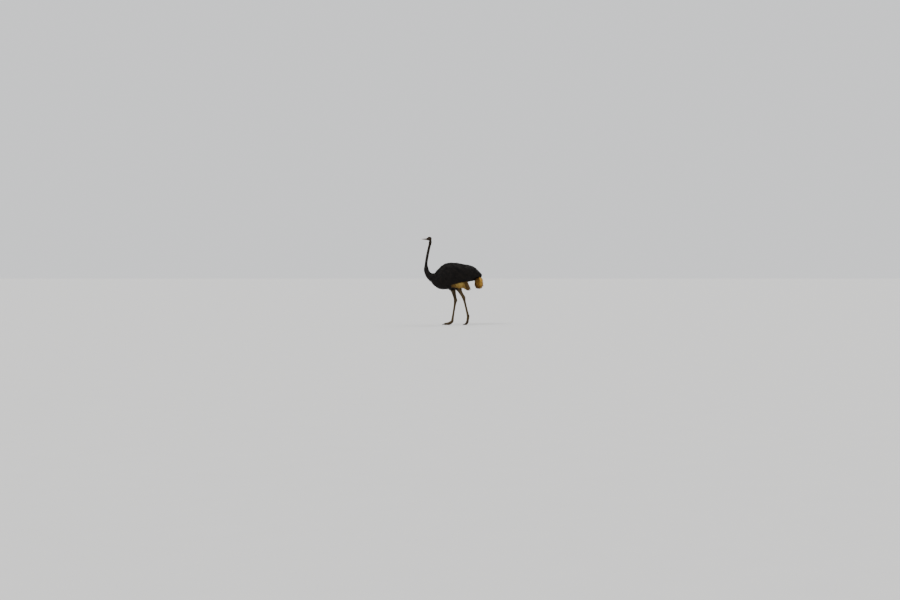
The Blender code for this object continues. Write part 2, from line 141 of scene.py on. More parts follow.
@dataclass(frozen=True)
class BodyAxis:
    """Trunk and neck as a ladder of rungs from the rump to the head.

    A rung is top y, top z, low y, low z and half the width.
    """

    rungs: tuple[tuple[float, ...], ...] = (
        (0.652, 1.124, 0.650, 1.106, 0.012),
        (0.638, 1.150, 0.628, 1.082, 0.046),
        (0.580, 1.226, 0.553, 1.030, 0.112),
        (0.494, 1.308, 0.461, 0.992, 0.165),
        (0.386, 1.346, 0.360, 0.974, 0.200),
        (0.259, 1.368, 0.247, 0.937, 0.220),
        (0.112, 1.398, 0.101, 0.886, 0.232),
        (-0.022, 1.408, -0.045, 0.822, 0.234),
        (-0.148, 1.390, -0.180, 0.800, 0.226),
        (-0.252, 1.333, -0.304, 0.812, 0.206),
        (-0.335, 1.252, -0.403, 0.872, 0.172),
        (-0.403, 1.183, -0.486, 0.954, 0.132),
        (-0.461, 1.172, -0.558, 1.015, 0.098),
        (-0.503, 1.203, -0.608, 1.097, 0.076),
        (-0.526, 1.250, -0.640, 1.186, 0.062),
        (-0.542, 1.296, -0.648, 1.270, 0.051),
        (-0.5594, 1.3451, -0.6296, 1.3429, 0.0378),
        (-0.5558, 1.4294, -0.6172, 1.4376, 0.0319),
        (-0.5366, 1.5443, -0.5974, 1.5537, 0.031),
        (-0.5147, 1.6573, -0.5743, 1.6667, 0.0304),
        (-0.4928, 1.7564, -0.5513, 1.7646, 0.031),
        (-0.4736, 1.8235, -0.5374, 1.8305, 0.0331),
        (-0.463, 1.8786, -0.535, 1.8634, 0.0338),
        (-0.476, 1.925, -0.520, 1.920, 0.0260),
    )
    neck_end: float = 23.0
    squareness: float = 2.2
    samples: int = 461
    batch: int = 20000

    def section(self, place: Array) -> tuple[Array, Array, Array]:
        """The ellipses round which trunk and neck are built.

        Args:
            place: Places on the ladder, in rungs.

        Returns:
            Their centres, half axes upwards and half widths.
        """
        row = row_at(np.array(self.rungs), place)
        flat = np.zeros(row.shape[:-1] + (1,))
        top = np.concatenate((flat, row[..., 0:2]), -1)
        low = np.concatenate((flat, row[..., 2:4]), -1)
        return (top + low) / 2, (top - low) / 2, row[..., 4]

    def point(self, place: Array, angle: Array, grow: Array | float = 0.0) -> Array:
        """Points on the body's side, turned by angle from the back's middle line.

        Args:
            place: Places on the ladder, in rungs.
            angle: Turns away from the back, in radians.
            grow: How far the points stand off the side.

        Returns:
            The points.
        """
        centre, up, half = self.section(place)
        grow = np.broadcast_to(grow, half.shape)[..., None]
        up = up + unit(up) * grow
        across = (half[..., None] + grow) * np.array((1.0, 0, 0))
        return (
            centre
            + up * rounded(np.cos(angle), self.squareness)[..., None]
            + across * rounded(np.sin(angle), self.squareness)[..., None]
        )

    def find(self, points: Array) -> tuple[Array, Array]:
        """The place of points in rungs, and their turn away from the back, + to the left."""
        return self.locate(points)[:2]

    def locate(self, points: Array) -> tuple[Array, Array, Array]:
        """Where points lie on the ladder and round it.

        Args:
            points: Points of the model.

        Returns:
            The place, the turn, and how far out: 1 is about the body's surface.
        """
        places = np.linspace(0, self.neck_end, self.samples)
        centre, up, half = self.section(places)
        reach = np.linalg.norm(up, axis=1)
        along = unit(up)[:, 1:]
        found = np.zeros(len(points))
        height = np.zeros(len(points))
        for start in range(0, len(points), self.batch):
            some = slice(start, start + self.batch)
            part = points[some, None, 1:] - centre[None, :, 1:]
            rise = (part * along).sum(-1) / reach
            off = np.abs(part[..., 1] * along[:, 0] - part[..., 0] * along[:, 1])
            miss = off + 0.5 * reach * np.maximum(np.abs(rise) - 1.15, 0)
            best = miss.argmin(1)
            found[some] = places[best]
            height[some] = rise[np.arange(len(best)), best]
        across = points[:, 0] / np.interp(found, places, half)
        return found, np.arctan2(across, height), np.hypot(across, height)

    def flow(self, points: Array) -> Array:
        """The lie of the coat, from the head back to the tail, before any droop.

        Args:
            points: Points of the model.

        Returns:
            One direction for each point.
        """
        place, angle = self.find(points)
        ahead = self.point(np.minimum(place + 0.25, self.neck_end), angle)
        behind = self.point(np.maximum(place - 0.25, 0.0), angle)
        return unit(behind - ahead)


class Side(Enum):
    """The bird's left, towards +X, and its right."""

    LEFT = 1
    RIGHT = -1

    @property
    def word(self) -> str:
        """The side's name."""
        return self.name.lower()


@dataclass(frozen=True)
class HeadPlan:
    """Where the head's features lie, from the occiput forwards and from the mouth's line up."""

    occiput_y: float = -0.467
    mouth_z: float = 1.930
    length: float = 0.108
    eye_forward: float = 0.064
    eye_above: float = 0.0225
    eye_offset: float = 0.0225
    eye_radius: float = 0.0210
    opening: tuple[float, float] = (0.0165, 0.0128)
    ear_forward: float = 0.030
    ear_above: float = 0.006

    def local(self, points: Array) -> tuple[Array, Array, Array]:
        """Forward from the occiput, height over the mouth's line, and distance from the middle."""
        return self.occiput_y - points[:, 1], points[:, 2] - self.mouth_z, np.abs(points[:, 0])

    def eye(self, side: Side) -> Array:
        """The centre of one eyeball."""
        y = self.occiput_y - self.eye_forward
        return np.array((side.value * self.eye_offset, y, self.mouth_z + self.eye_above))


@dataclass(frozen=True)
class LegPlan:
    """Hock and ball of one leg, and the toes' paths from the ball to the tip."""

    side: Side
    hock: Triple
    ball: Triple
    large_toe: tuple[Triple, ...]
    small_toe: tuple[Triple, ...]

    def toe(self, rows: Sequence[Triple]) -> Array:
        """A toe's middle line in the model's own frame."""
        x, y, _ = self.ball
        return np.array([(x + self.side.value * across, y + along, up) for across, along, up in rows])


LEFT_LEG = LegPlan(
    Side.LEFT, (0.098, 0.252, 0.620), (0.078, 0.352, 0.200),
    ((0.0, 0.003, 0.200), (0.0, -0.003, 0.160), (0.001, -0.010, 0.118), (0.002, -0.017, 0.076),
     (0.003, -0.031, 0.041), (0.004, -0.057, 0.024), (0.004, -0.078, 0.020)),
    ((0.008, 0.006, 0.182), (0.022, 0.0, 0.150), (0.033, -0.008, 0.118), (0.042, -0.018, 0.088),
     (0.048, -0.027, 0.070)),
)
RIGHT_LEG = LegPlan(
    Side.RIGHT, (-0.078, 0.070, 0.558), (-0.026, -0.006, 0.078),
    ((0.0, 0.0, 0.078), (0.001, -0.030, 0.056), (0.002, -0.064, 0.036), (0.003, -0.104, 0.026),
     (0.004, -0.144, 0.023), (0.005, -0.172, 0.020), (0.005, -0.188, 0.018)),
    ((0.008, -0.004, 0.066), (0.024, -0.028, 0.042), (0.037, -0.058, 0.024), (0.047, -0.086, 0.0185),
     (0.054, -0.104, 0.016)),
)
LEGS = (LEFT_LEG, RIGHT_LEG)


# ---- meshes from arrays ----


def linked(name: str, data: bpy.types.ID) -> Piece:
    """A new object for a mesh, a light or a camera, linked into the scene.

    Args:
        name: The object's name.
        data: What it shows.

    Returns:
        The object.
    """
    piece = bpy.data.objects.new(name, data)
    bpy.context.scene.collection.objects.link(piece)
    return piece


def dressed(name: str, mesh: Mesh, finish: Material,
            replaced: Sequence[str] = ()) -> Piece:
    """A finished piece of the bird.

    Args:
        name: The piece's name.
        mesh: Its mesh.
        finish: Its material.
        replaced: The solids that it stands for.

    Returns:
        The piece.
    """
    piece = linked(name, mesh)
    mesh.materials.append(finish)
    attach(piece, "root")
    if replaced:
        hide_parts(*replaced)
    LOG.info("%s: %d faces", name, len(mesh.polygons))
    return piece


def mesh_from(name: str, corners: Array, faces: Array) -> Mesh:
    """A mesh from arrays of corners and of faces that all have as many sides.

    Args:
        name: The mesh's name.
        corners: One point for each vertex.
        faces: One row of vertex numbers for each face.

    Returns:
        The mesh, smooth-shaded.
    """
    mesh = bpy.data.meshes.new(name)
    count, sides = faces.shape
    mesh.vertices.add(len(corners))
    mesh.vertices.foreach_set("co", np.asarray(corners, np.float32).ravel())
    mesh.loops.add(count * sides)
    mesh.loops.foreach_set("vertex_index", np.asarray(faces, np.int32).ravel())
    mesh.polygons.add(count)
    mesh.polygons.foreach_set("loop_start", np.arange(count, dtype=np.int32) * sides)
    mesh.update(calc_edges=True)
    mesh.validate()
    mesh.shade_smooth()
    return mesh


def rows_of(items: Any, attribute: str, width: int, kind: type = np.float32) -> Array:
    """One attribute of a mesh's vertices, edges, triangles or loops.

    Args:
        items: The mesh's items.
        attribute: What is read from each.
        width: How many numbers the attribute has.
        kind: The numbers' type.

    Returns:
        One row for each item.
    """
    flat = np.empty(len(items) * width, kind)
    items.foreach_get(attribute, flat)
    return flat.reshape(-1, width)


def corners_of(mesh: Mesh) -> Array:
    """A mesh's vertices."""
    return rows_of(mesh.vertices, "co", 3).astype(float)


def normals_of(mesh: Mesh) -> Array:
    """A mesh's vertex normals."""
    return rows_of(mesh.vertices, "normal", 3).astype(float)


def triangles_of(mesh: Mesh) -> Array:
    """A mesh's faces as triangles of vertex numbers."""
    mesh.calc_loop_triangles()
    return rows_of(mesh.loop_triangles, "vertices", 3, np.int32)


def edges_of(mesh: Mesh) -> Array:
    """A mesh's edges as pairs of vertex numbers."""
    return rows_of(mesh.edges, "vertices", 2, np.int32)


def tree_of(corners: Array, faces: Array) -> BVHTree:
    """A search tree over a mesh's faces."""
    return BVHTree.FromPolygons(corners.tolist(), faces.tolist())


def move(mesh: Mesh, corners: Array) -> None:
    """Moves a mesh's vertices to the corners."""
    mesh.vertices.foreach_set("co", corners.astype(np.float32).ravel())
    mesh.update()


def store(mesh: Mesh, name: str, values: Array) -> None:
    """Keeps one number for each vertex as an attribute that a finish can read."""
    mesh.attributes.new(name, "FLOAT", "POINT").data.foreach_set("value", np.asarray(values, np.float32))


def smoothed(corners: Array, edges: Array, rounds: int, keep: float = 0.53,
             share: Array | float = 1.0) -> Array:
    """Corners with facets smoothed away and the volume kept.

    Args:
        corners: The mesh's vertices.
        edges: Its edges.
        rounds: How often to smooth and to swell again.
        keep: How strongly each round swells the shape again.
        share: How much each corner takes part.

    Returns:
        The moved corners.
    """
    count = len(corners)
    both = np.concatenate((edges, edges[:, ::-1]))
    degree = np.maximum(np.bincount(both[:, 0], minlength=count), 1)[:, None]
    for pull in (0.5, -keep) * rounds:
        if pull:
            sums = [np.bincount(both[:, 0], corners[both[:, 1], k], count) for k in range(3)]
            corners = corners + (np.stack(sums, 1) / degree - corners) * (pull * share)
    return corners


def largest_body(corners: Array, faces: Array, edges: Array) -> tuple[Array, Array]:
    """The part of a mesh that hangs together and has the most vertices.

    Args:
        corners: The mesh's corners.
        faces: Its faces.
        edges: Its edges.

    Returns:
        The part's corners and faces.
    """
    label = np.arange(len(corners))
    while True:
        low = np.minimum(label[edges[:, 0]], label[edges[:, 1]])
        fresh = label.copy()
        np.minimum.at(fresh, edges[:, 0], low)
        np.minimum.at(fresh, edges[:, 1], low)
        fresh = fresh[fresh]
        if (fresh == label).all():
            break
        label = fresh
    kept = label == np.bincount(label).argmax()
    number = np.cumsum(kept) - 1
    return corners[kept], number[faces[kept[faces[:, 0]]]]


def welded(nodes: Sequence[Piece], cuts: int = 0) -> tuple[Array, Array]:
    """Corners and triangles of several solids, each closed by merging its loose triangles.

    Args:
        nodes: The solids.
        cuts: How many cuts each edge is given.

    Returns:
        The corners and triangles.
    """
    corners, faces, count = [], [], 0
    for node in nodes:
        shape = bmesh.new()
        shape.from_mesh(node.data)
        bmesh.ops.remove_doubles(shape, verts=shape.verts, dist=1e-6)
        if cuts:
            bmesh.ops.subdivide_edges(shape, edges=shape.edges[:], cuts=cuts, use_grid_fill=True)
            bmesh.ops.triangulate(shape, faces=[face for face in shape.faces if len(face.verts) > 3])
        shape.verts.index_update()
        corners.append(np.array([corner.co for corner in shape.verts]))
        faces.append(np.array([[c.index for c in face.verts] for face in shape.faces]) + count)
        count += len(shape.verts)
        shape.free()
    return np.concatenate(corners), np.concatenate(faces)


def remeshed(corners: Array, faces: Array, voxel: float) -> tuple[Array, Array, Array]:
    """One closed skin of even squares round everything given.

    Args:
        corners: The vertices of one or more closed shapes.
        faces: Their triangles.
        voxel: The size of a square.

    Returns:
        The new corners, quads and edges.
    """
    piece = linked("raw", mesh_from("raw", corners, faces))
    change = piece.modifiers.new("Remesh", "REMESH")
    change.mode = "VOXEL"
    change.voxel_size = voxel
    change.adaptivity = 0.0
    seen = piece.evaluated_get(bpy.context.evaluated_depsgraph_get())
    made = bpy.data.meshes.new_from_object(seen)
    points, edges = corners_of(made), edges_of(made)
    quads = rows_of(made.loops, "vertex_index", 1, np.int32).reshape(-1, 4)
    bpy.data.objects.remove(piece)
    bpy.data.meshes.remove(made)
    return points, quads, edges


def finished(name: str, shape: bmesh.types.BMesh) -> Mesh:
    """A smooth-shaded mesh from a shape under work, which is used up.

    Args:
        name: The mesh's name.
        shape: The shape.

    Returns:
        The mesh.
    """
    mesh = bpy.data.meshes.new(name)
    shape.to_mesh(mesh)
    shape.free()
    mesh.shade_smooth()
    return mesh


def sheet(name: str, columns: int, rows: int, place: Callable[[float, float], Sequence[float]],
          weld: float = 1e-5) -> Mesh:
    """A grid bent to a shape.

    Args:
        name: The mesh's name.
        columns: Squares along the first direction.
        rows: Squares along the second.
        place: Gives the point for two shares, each from 0 to 1.
        weld: How close vertices are merged, so that a sheet can close on itself.

    Returns:
        The mesh, with its faces turned outwards.
    """
    shape = bmesh.new()
    bmesh.ops.create_grid(shape, x_segments=columns, y_segments=rows, size=0.5)
    for corner in shape.verts:
        corner.co = Vector(place(corner.co.x + 0.5, corner.co.y + 0.5))
    bmesh.ops.remove_doubles(shape, verts=shape.verts, dist=weld)
    bmesh.ops.recalc_face_normals(shape, faces=shape.faces)
    return finished(name, shape)


def joined(name: str, meshes: Sequence[Mesh]) -> Mesh:
    """Several meshes as one.

    Args:
        name: The new mesh's name.
        meshes: The meshes, which are used up.

    Returns:
        The joined mesh, smooth-shaded.
    """
    shape = bmesh.new()
    for mesh in meshes:
        shape.from_mesh(mesh)
        bpy.data.meshes.remove(mesh)
    return finished(name, shape)


# ---- shaders ----


class Term:
    """A number in a shader. Arithmetic on it adds Math nodes."""

    def __init__(self, paint: Paint, socket: Socket) -> None:
        """Wraps a socket of one material."""
        self.paint = paint
        self.socket = socket

    def _math(self, operation: str, *values: Any) -> Term:
        """A Math node on the values."""
        return self.paint.term(0, "ShaderNodeMath", {"operation": operation}, dict(enumerate(values)))

    def __add__(self, other: Any) -> Term:
        """The sum."""
        return self._math("ADD", self, other)

    __radd__ = __add__

    def __sub__(self, other: Any) -> Term:
        """The difference."""
        return self._math("SUBTRACT", self, other)

    def __rsub__(self, other: Any) -> Term:
        """The difference from a number."""
        return self._math("SUBTRACT", other, self)

    def __mul__(self, other: Any) -> Term:
        """The product."""
        return self._math("MULTIPLY", self, other)

    __rmul__ = __mul__

    def __pow__(self, other: Any) -> Term:
        """The power."""
        return self._math("POWER", self, other)

    def above(self, start: float, end: float) -> Term:
        """0 below start, 1 above end, and a smooth rise between them."""
        inputs = {"Value": self, "From Min": start, "From Max": end}
        return self.paint.term(0, "ShaderNodeMapRange", {"interpolation_type": "SMOOTHSTEP"}, inputs)


class Paint:
    """One material: a Principled shader and the nodes that feed it."""

    def __init__(self, name: str, **constants: Any) -> None:
        """Makes the material.

        Args:
            name: The material's name.
            constants: Values that are the same all over, by socket, with _ for a space.
        """
        self.material = bpy.data.materials.new(name)
        self.material.use_nodes = True
        self.tree = self.material.node_tree
        self.shader = self.tree.nodes["Principled BSDF"]
        for socket, value in constants.items():
            self.shader.inputs[socket.replace("_", " ")].default_value = value
        self.place = self.node("ShaderNodeTexCoord").outputs["Object"]

    def node(self, kind: str, settings: dict[str, Any] | None = None,
             inputs: dict[Any, Any] | None = None) -> bpy.types.Node:
        """A node with its settings, then its sockets.

        Args:
            kind: The node's type.
            settings: Its properties, set first.
            inputs: Values or links by socket name or number.

        Returns:
            The node.
        """
        made = self.tree.nodes.new(kind)
        for key, value in (settings or {}).items():
            setattr(made, key, value)
        for key, value in (inputs or {}).items():
            value = value.socket if isinstance(value, Term) else value
            if isinstance(value, Socket):
                self.tree.links.new(value, made.inputs[key])
            else:
                made.inputs[key].default_value = value
        return made

    def term(self, output: int | str, kind: str, settings: dict[str, Any] | None = None,
             inputs: dict[Any, Any] | None = None) -> Term:
        """One output of a new node, ready for arithmetic."""
        return Term(self, self.node(kind, settings, inputs).outputs[output])

    def attribute(self, name: str) -> Term:
        """A number that the mesh keeps for each vertex."""
        return self.term("Fac", "ShaderNodeAttribute", {"attribute_name": name})

    def axis(self, letter: str) -> Term:
        """One of the object's own coordinates."""
        return self.term(letter, "ShaderNodeSeparateXYZ", None, {0: self.place})

    def stretched(self, scale: Triple,
                  centre: Triple = (0, 0, 0)) -> Socket:
        """The object's coordinates, moved to a centre and scaled.

        Args:
            scale: The factor along each axis.
            centre: What the coordinates are measured from.

        Returns:
            The coordinates.
        """
        moved = tuple(-c * s for c, s in zip(centre, scale))
        inputs = {"Vector": self.place, "Location": moved, "Scale": scale}
        return self.node("ShaderNodeMapping", None, inputs).outputs[0]

    def noise(self, scale: float, detail: float = 3.0, place: Any = None) -> Term:
        """Soft noise, from 0 to 1."""
        inputs = {"Vector": place or self.place, "Scale": scale, "Detail": detail}
        return self.term(0, "ShaderNodeTexNoise", None, inputs)

    def cells(self, scale: float, place: Any = None) -> Term:
        """The distance to the edge of scale-like cells."""
        inputs = {"Vector": place or self.place, "Scale": scale}
        return self.term(0, "ShaderNodeTexVoronoi", {"feature": "DISTANCE_TO_EDGE"}, inputs)

    def mix(self, share: Any, first: Any, second: Any) -> Socket:
        """A colour between two colours.

        Args:
            share: The second colour's share.
            first: One colour.
            second: The other colour.

        Returns:
            The mixed colour.
        """
        full = [(*c, 1.0) if isinstance(c, tuple) else c for c in (first, second)]
        settings = {"data_type": "RGBA", "clamp_factor": True}
        return self.node("ShaderNodeMix", settings, {0: share, 6: full[0], 7: full[1]}).outputs[2]

    def relief(self, height: Term, depth: float,
               over: Socket | None = None) -> Socket:
        """Bumps of a real depth, laid over others if they are given.

        Args:
            height: The height, from 0 to 1.
            depth: The real depth in metres.
            over: Bumps that lie below these.

        Returns:
            The bent normal.
        """
        inputs = {"Height": height, "Distance": depth, "Strength": 1.0}
        if over is not None:
            inputs["Normal"] = over
        return self.node("ShaderNodeBump", None, inputs).outputs[0]

    def feed(self, **links: Any) -> Material:
        """Feeds the shader's sockets, with _ for a space, and gives the material.

        Returns:
            The material.
        """
        for socket, value in links.items():
            value = value.socket if isinstance(value, Term) else value
            self.tree.links.new(value, self.shader.inputs[socket.replace("_", " ")])
        return self.material


@dataclass(frozen=True)
class SkinFinish:
    """Bare skin: black under the plumage, brown on neck and face, olive on the legs."""

    under: Triple = (0.010, 0.008, 0.007)
    neck: Triple = (0.034, 0.023, 0.014)
    face: Triple = (0.058, 0.038, 0.022)
    lid: Triple = (0.020, 0.014, 0.010)
    leg: Triple = (0.068, 0.044, 0.014)
    crease: Triple = (0.020, 0.011, 0.004)

    def make(self) -> Material:
        """Mixes the material.

        Returns:
            The material.
        """
        paint = Paint("skin", Roughness=0.6, Specular_IOR_Level=0.15)
        leg, face, bare = (paint.attribute(name) for name in ("leg", "face", "bare"))
        shank = 1 - paint.axis("Z").above(0.50, 0.70)
        broad = paint.noise(11.0, 4.0)
        fine = paint.noise(170.0, 3.0)
        wrinkles = paint.noise(150.0, 2.0, paint.stretched((1.0, 1.0, 2.6)))
        seam = paint.cells(230.0).above(0.0, 0.15)
        grain = paint.cells(430.0).above(0.0, 0.14)
        colour = paint.mix(bare, self.under, self.neck)
        colour = paint.mix(face, colour, paint.mix(broad.above(0.35, 0.7), self.face, self.neck))
        leg_colour = paint.mix(broad.above(0.3, 0.75), self.leg, self.crease)
        leg_colour = paint.mix((1 - seam) * (0.10 + 0.35 * shank), leg_colour, self.crease)
        colour = paint.mix(leg, colour, leg_colour)
        colour = paint.mix(fine * 0.35, colour, self.lid)
        rough = 0.62 - leg * 0.10 + fine * 0.10
        bumps = paint.relief(seam * leg * (0.25 + 0.75 * shank), 0.0006)
        bumps = paint.relief(grain * (1 - leg), 0.0001, bumps)
        bumps = paint.relief(wrinkles.above(0.30, 0.70) * (1 - shank), 0.0004, bumps)
        bumps = paint.relief(fine, 0.0003, bumps)
        return paint.feed(Base_Color=colour, Roughness=rough, Normal=bumps)


@dataclass(frozen=True)
class HornFinish:
    """Horn with lengthwise streaks, paler or darker towards its tip."""

    name: str
    base: Triple
    tip: Triple
    streak: Triple
    axis: str
    start: float
    end: float
    roughness: float = 0.42
    streak_scale: Triple = (1.0, 0.08, 1.0)
    shine: float = 0.35

    def make(self) -> Material:
        """Mixes the material.

        Returns:
            The material.
        """
        paint = Paint(self.name, Specular_IOR_Level=self.shine)
        along = paint.axis(self.axis)
        low, high = sorted((self.start, self.end))
        share = along.above(low, high)
        share = share if self.end > self.start else 1 - share
        streaks = paint.noise(420.0, 3.0, paint.stretched(self.streak_scale))
        blotch = paint.noise(60.0, 4.0)
        colour = paint.mix(share, self.base, self.tip)
        colour = paint.mix(streaks.above(0.40, 0.72) * 0.30, colour, self.streak)
        colour = paint.mix(blotch.above(0.5, 0.8) * 0.35, colour, self.base)
        rough = self.roughness + blotch * 0.18
        bumps = paint.relief(streaks, 0.00012)
        return paint.feed(Base_Color=colour, Roughness=rough, Normal=bumps)


@dataclass(frozen=True)
class EyeFinish:
    """A wet eye: round black pupil in a brown iris."""

    plan: HeadPlan
    pupil: float = 0.0074
    iris: float = 0.0150
    dark: Triple = (0.002, 0.0015, 0.001)
    brown: Triple = (0.016, 0.0065, 0.003)
    pale: Triple = (0.034, 0.015, 0.006)

    def make(self) -> Material:
        """Mixes the material.

        Returns:
            The material.
        """
        paint = Paint("eye", Roughness=0.12, Specular_IOR_Level=0.05, Coat_Weight=0.30, Coat_Roughness=0.03)
        _, y, z = self.plan.eye(Side.LEFT)
        across, up = paint.axis("Y") - float(y), paint.axis("Z") - float(z)
        radius = (across * across + up * up) ** 0.5
        rays = paint.noise(900.0, 2.0)
        iris = paint.mix(rays.above(0.35, 0.7), self.brown, self.pale)
        colour = paint.mix(radius.above(self.pupil, self.pupil + 0.0009), self.dark, iris)
        colour = paint.mix(radius.above(self.iris - 0.0020, self.iris + 0.0010), colour, self.dark)
        return paint.feed(Base_Color=colour)


@dataclass(frozen=True)
class FeatherFinish:
    """Loose plumes: a colour at the root, one at the tip, and a tone for each plume that mixes in a dull
    colour, which also serves as painted shade where a piece sets the tone by position.
    """

    name: str
    root: Triple
    tip: Triple
    dull: Triple
    roughness: float = 0.50
    sheen: float = 0.0
    tip_start: float = 0.45
    patch_scale: float = 14.0

    def make(self) -> Material:
        """Mixes the material.

        Returns:
            The material.
        """
        paint = Paint(self.name, Specular_IOR_Level=0.13, Sheen_Weight=self.sheen, Sheen_Roughness=0.5)
        tone, along = paint.attribute("tone"), paint.attribute("along")
        patch = paint.noise(self.patch_scale, 3.0)
        fine = paint.noise(700.0, 2.0)
        colour = paint.mix(along.above(self.tip_start, 1.0), self.root, self.tip)
        # Each plume's tone mixes in the dull colour: a random spread, and painted shade where a piece sets
        # the tone by the plume's place.
        colour = paint.mix(tone, colour, self.dull)
        colour = paint.mix(patch.above(0.45, 0.75) * 0.6, colour, self.dull)
        rough = self.roughness + fine * 0.2 - tone * 0.05
        return paint.feed(Base_Color=colour, Roughness=rough)


# ---- skin ----


@dataclass
class Skin:
    """One skin for trunk, neck, head, wings and legs, finer where it shows bare.

    The flesh solids are drawn out where the skin needs small squares, wrapped in one mesh of
    even squares, and brought back.
    """

    axis: BodyAxis
    head: HeadPlan
    voxel: float = 0.0085
    finer: tuple[tuple[float, float], ...] = (
        (0.00, 3.0), (0.22, 3.0), (0.40, 2.1), (0.64, 2.1), (0.79, 1.0),
        (1.41, 1.0), (1.50, 1.9), (1.80, 2.1), (1.87, 5.4), (2.10, 5.4),
    )
    cuts: int = 3
    middle: tuple[tuple[float, float], ...] = ((0.0, 0.1), (0.95, 0.1), (1.38, -0.55), (2.1, -0.55))
    trunk_depth: float = 0.028
    wing_share: float = 0.58
    neck_depths: tuple[tuple[float, ...], ...] = (
        (13.0, 16.2, 0.005), (16.0, 18.0, 0.0026), (21.5, 23.0, 0.0012),
    )
    facets_away: int = 34
    plump_rounds: int = 30
    slim_rounds: int = 60
    eye_cover: float = 1.09
    cell_key: int = 4001
    mesh: Mesh = field(init=False)
    corners: Array = field(init=False)
    normals: Array = field(init=False)
    tree: BVHTree = field(init=False)
    outer: BVHTree = field(init=False)
    closed: BVHTree = field(init=False)

    def _draw_out(self, points: Array, back: bool = False) -> Array:
        """Draws the body out round its middle line, or brings it back.

        Args:
            points: Points of the model.
            back: Whether to bring them back.

        Returns:
            The moved points.
        """
        heights = np.linspace(-0.05, 2.10, 4301)
        scale = np.interp(heights, *zip(*self.finer))
        high = np.concatenate(((0,), np.cumsum((scale[1:] + scale[:-1]) / 2 * np.diff(heights))))
        z = np.interp(points[:, 2], high, heights) if back else points[:, 2]
        size = np.interp(z, heights, scale)
        centre = np.interp(z, *zip(*self.middle))
        if back:
            return np.stack((points[:, 0] / size, (points[:, 1] - centre) / size + centre, z), 1)
        return np.stack(
            (points[:, 0] * size, (points[:, 1] - centre) * size + centre, np.interp(z, heights, high)), 1
        )

    def depth(self, points: Array) -> Array:
        """How deep the skin lies under the tips of the coat.

        Args:
            points: Points of the model.

        Returns:
            One depth for each point.
        """
        place, _, out = self.axis.locate(points)
        half = self.axis.section(place)[2]
        trunk = np.minimum(self.trunk_depth, 0.3 * half) * (1 - self.wing_share * ease(out, 1.03, 1.12))
        depth = trunk
        for start, end, thinner in self.neck_depths:
            depth = depth + (thinner - depth) * ease(place, start, end)
        forward, _, _ = self.head.local(points)
        depth = depth * (1 - ease(forward, 0.085, 0.100) * (points[:, 2] > 1.87))
        return depth * (1 - self.leg_share(points))

    def leg_share(self, points: Array) -> Array:
        """1 on the bare legs, 0 on the feathered body."""
        low = (1 - ease(points[:, 2], 0.90, 0.96)) * ease(self.axis.locate(points)[2], 1.06, 1.22)
        return np.where(points[:, 2] < 0.78, 1.0, low)

    def _wrap(self, nodes: dict[str, Piece], flesh: Sequence[str]) -> tuple[Array, Array]:
        """Wraps flesh and eyes in one mesh of squares.

        Args:
            nodes: The solids by name.
            flesh: The names of those of flesh.

        Returns:
            The mesh's corners and quads.
        """
        body = ("trunk", "wing_left", "wing_right")
        corners, faces = welded([nodes[name] for name in flesh if name in body])
        more, extra = welded([nodes[name] for name in flesh if name not in body], self.cuts)
        corners, faces = np.concatenate((corners, more)), np.concatenate((faces, extra + len(corners)))
        self.outer = tree_of(corners, faces)
        balls, around = welded([nodes[name] for name in ("eye_left", "eye_right")])
        centre = np.where(balls[:, :1] > 0, *map(self.head.eye, Side))
        balls = centre + (balls - centre) * self.eye_cover
        corners, faces = np.concatenate((corners, balls)), np.concatenate((faces, around + len(corners)))
        corners, quads, edges = remeshed(self._draw_out(corners), faces, self.voxel)
        corners, quads = largest_body(corners, quads, edges)
        return self._draw_out(corners, back=True), quads

    def _keep_shares(self, mesh: Mesh, corners: Array) -> None:
        """Keeps where each corner lies, for the finish.

        Args:
            mesh: The skin's mesh.
            corners: Its corners.
        """
        place, _ = self.axis.find(corners)
        forward, _, _ = self.head.local(corners)
        leg = self.leg_share(corners)
        store(mesh, "leg", leg)
        store(mesh, "face", ease(corners[:, 2], 1.86, 1.90) * ease(forward, -0.06, -0.02))
        store(mesh, "bare", ease(place, 15.0, 17.5) * (1 - leg))

    def build(self, frame: dict[str, Any], finish: Material) -> Piece:
        """Makes the skin and lets it stand for the solids of flesh.

        Args:
            frame: The loaded frame.
            finish: The skin's material.

        Returns:
            The skin.
        """
        flesh = [
            name for name in frame["nodes"]
            if name.startswith(("trunk", "wing_left", "wing_right", "neck", "head", "thigh", "shank", "toe"))
        ]
        corners, quads = self._wrap(frame["nodes"], flesh)
        mesh = mesh_from("skin", corners, quads)
        edges = edges_of(mesh)
        corners = smoothed(corners, edges, self.facets_away)
        slim = ease(corners[:, 2:], 1.40, 1.55) + 1 - ease(corners[:, 2:], 0.66, 0.74)
        corners = smoothed(corners, edges, self.slim_rounds, share=slim)
        corners[:, 2] = np.maximum(corners[:, 2], 0.0)
        place, _ = self.axis.find(corners)
        plump = ((1 - self.leg_share(corners)) * ease(13.5 - place, 0, 2))[:, None]
        corners = smoothed(corners, edges, self.plump_rounds, 0.0, plump)
        move(mesh, corners)
        swell = self._knuckles(corners) - self.depth(corners)
        corners = corners + normals_of(mesh) * swell[:, None]
        corners = smoothed(corners, edges, 8, 0.0, plump)
        corners[:, 2] = np.maximum(corners[:, 2], 0.0)
        corners = self._sculpt_head(corners)
        corners = self._meet_horn(corners, edges, frame)
        self.closed = tree_of(corners, quads)
        for side in Side:
            corners = self._open_eye(corners, side)
        move(mesh, corners)
        self._keep_shares(mesh, corners)
        self.corners, self.normals = corners, normals_of(mesh)
        self.tree = tree_of(corners, quads)
        self.mesh = mesh
        return dressed("skin", mesh, finish, flesh)

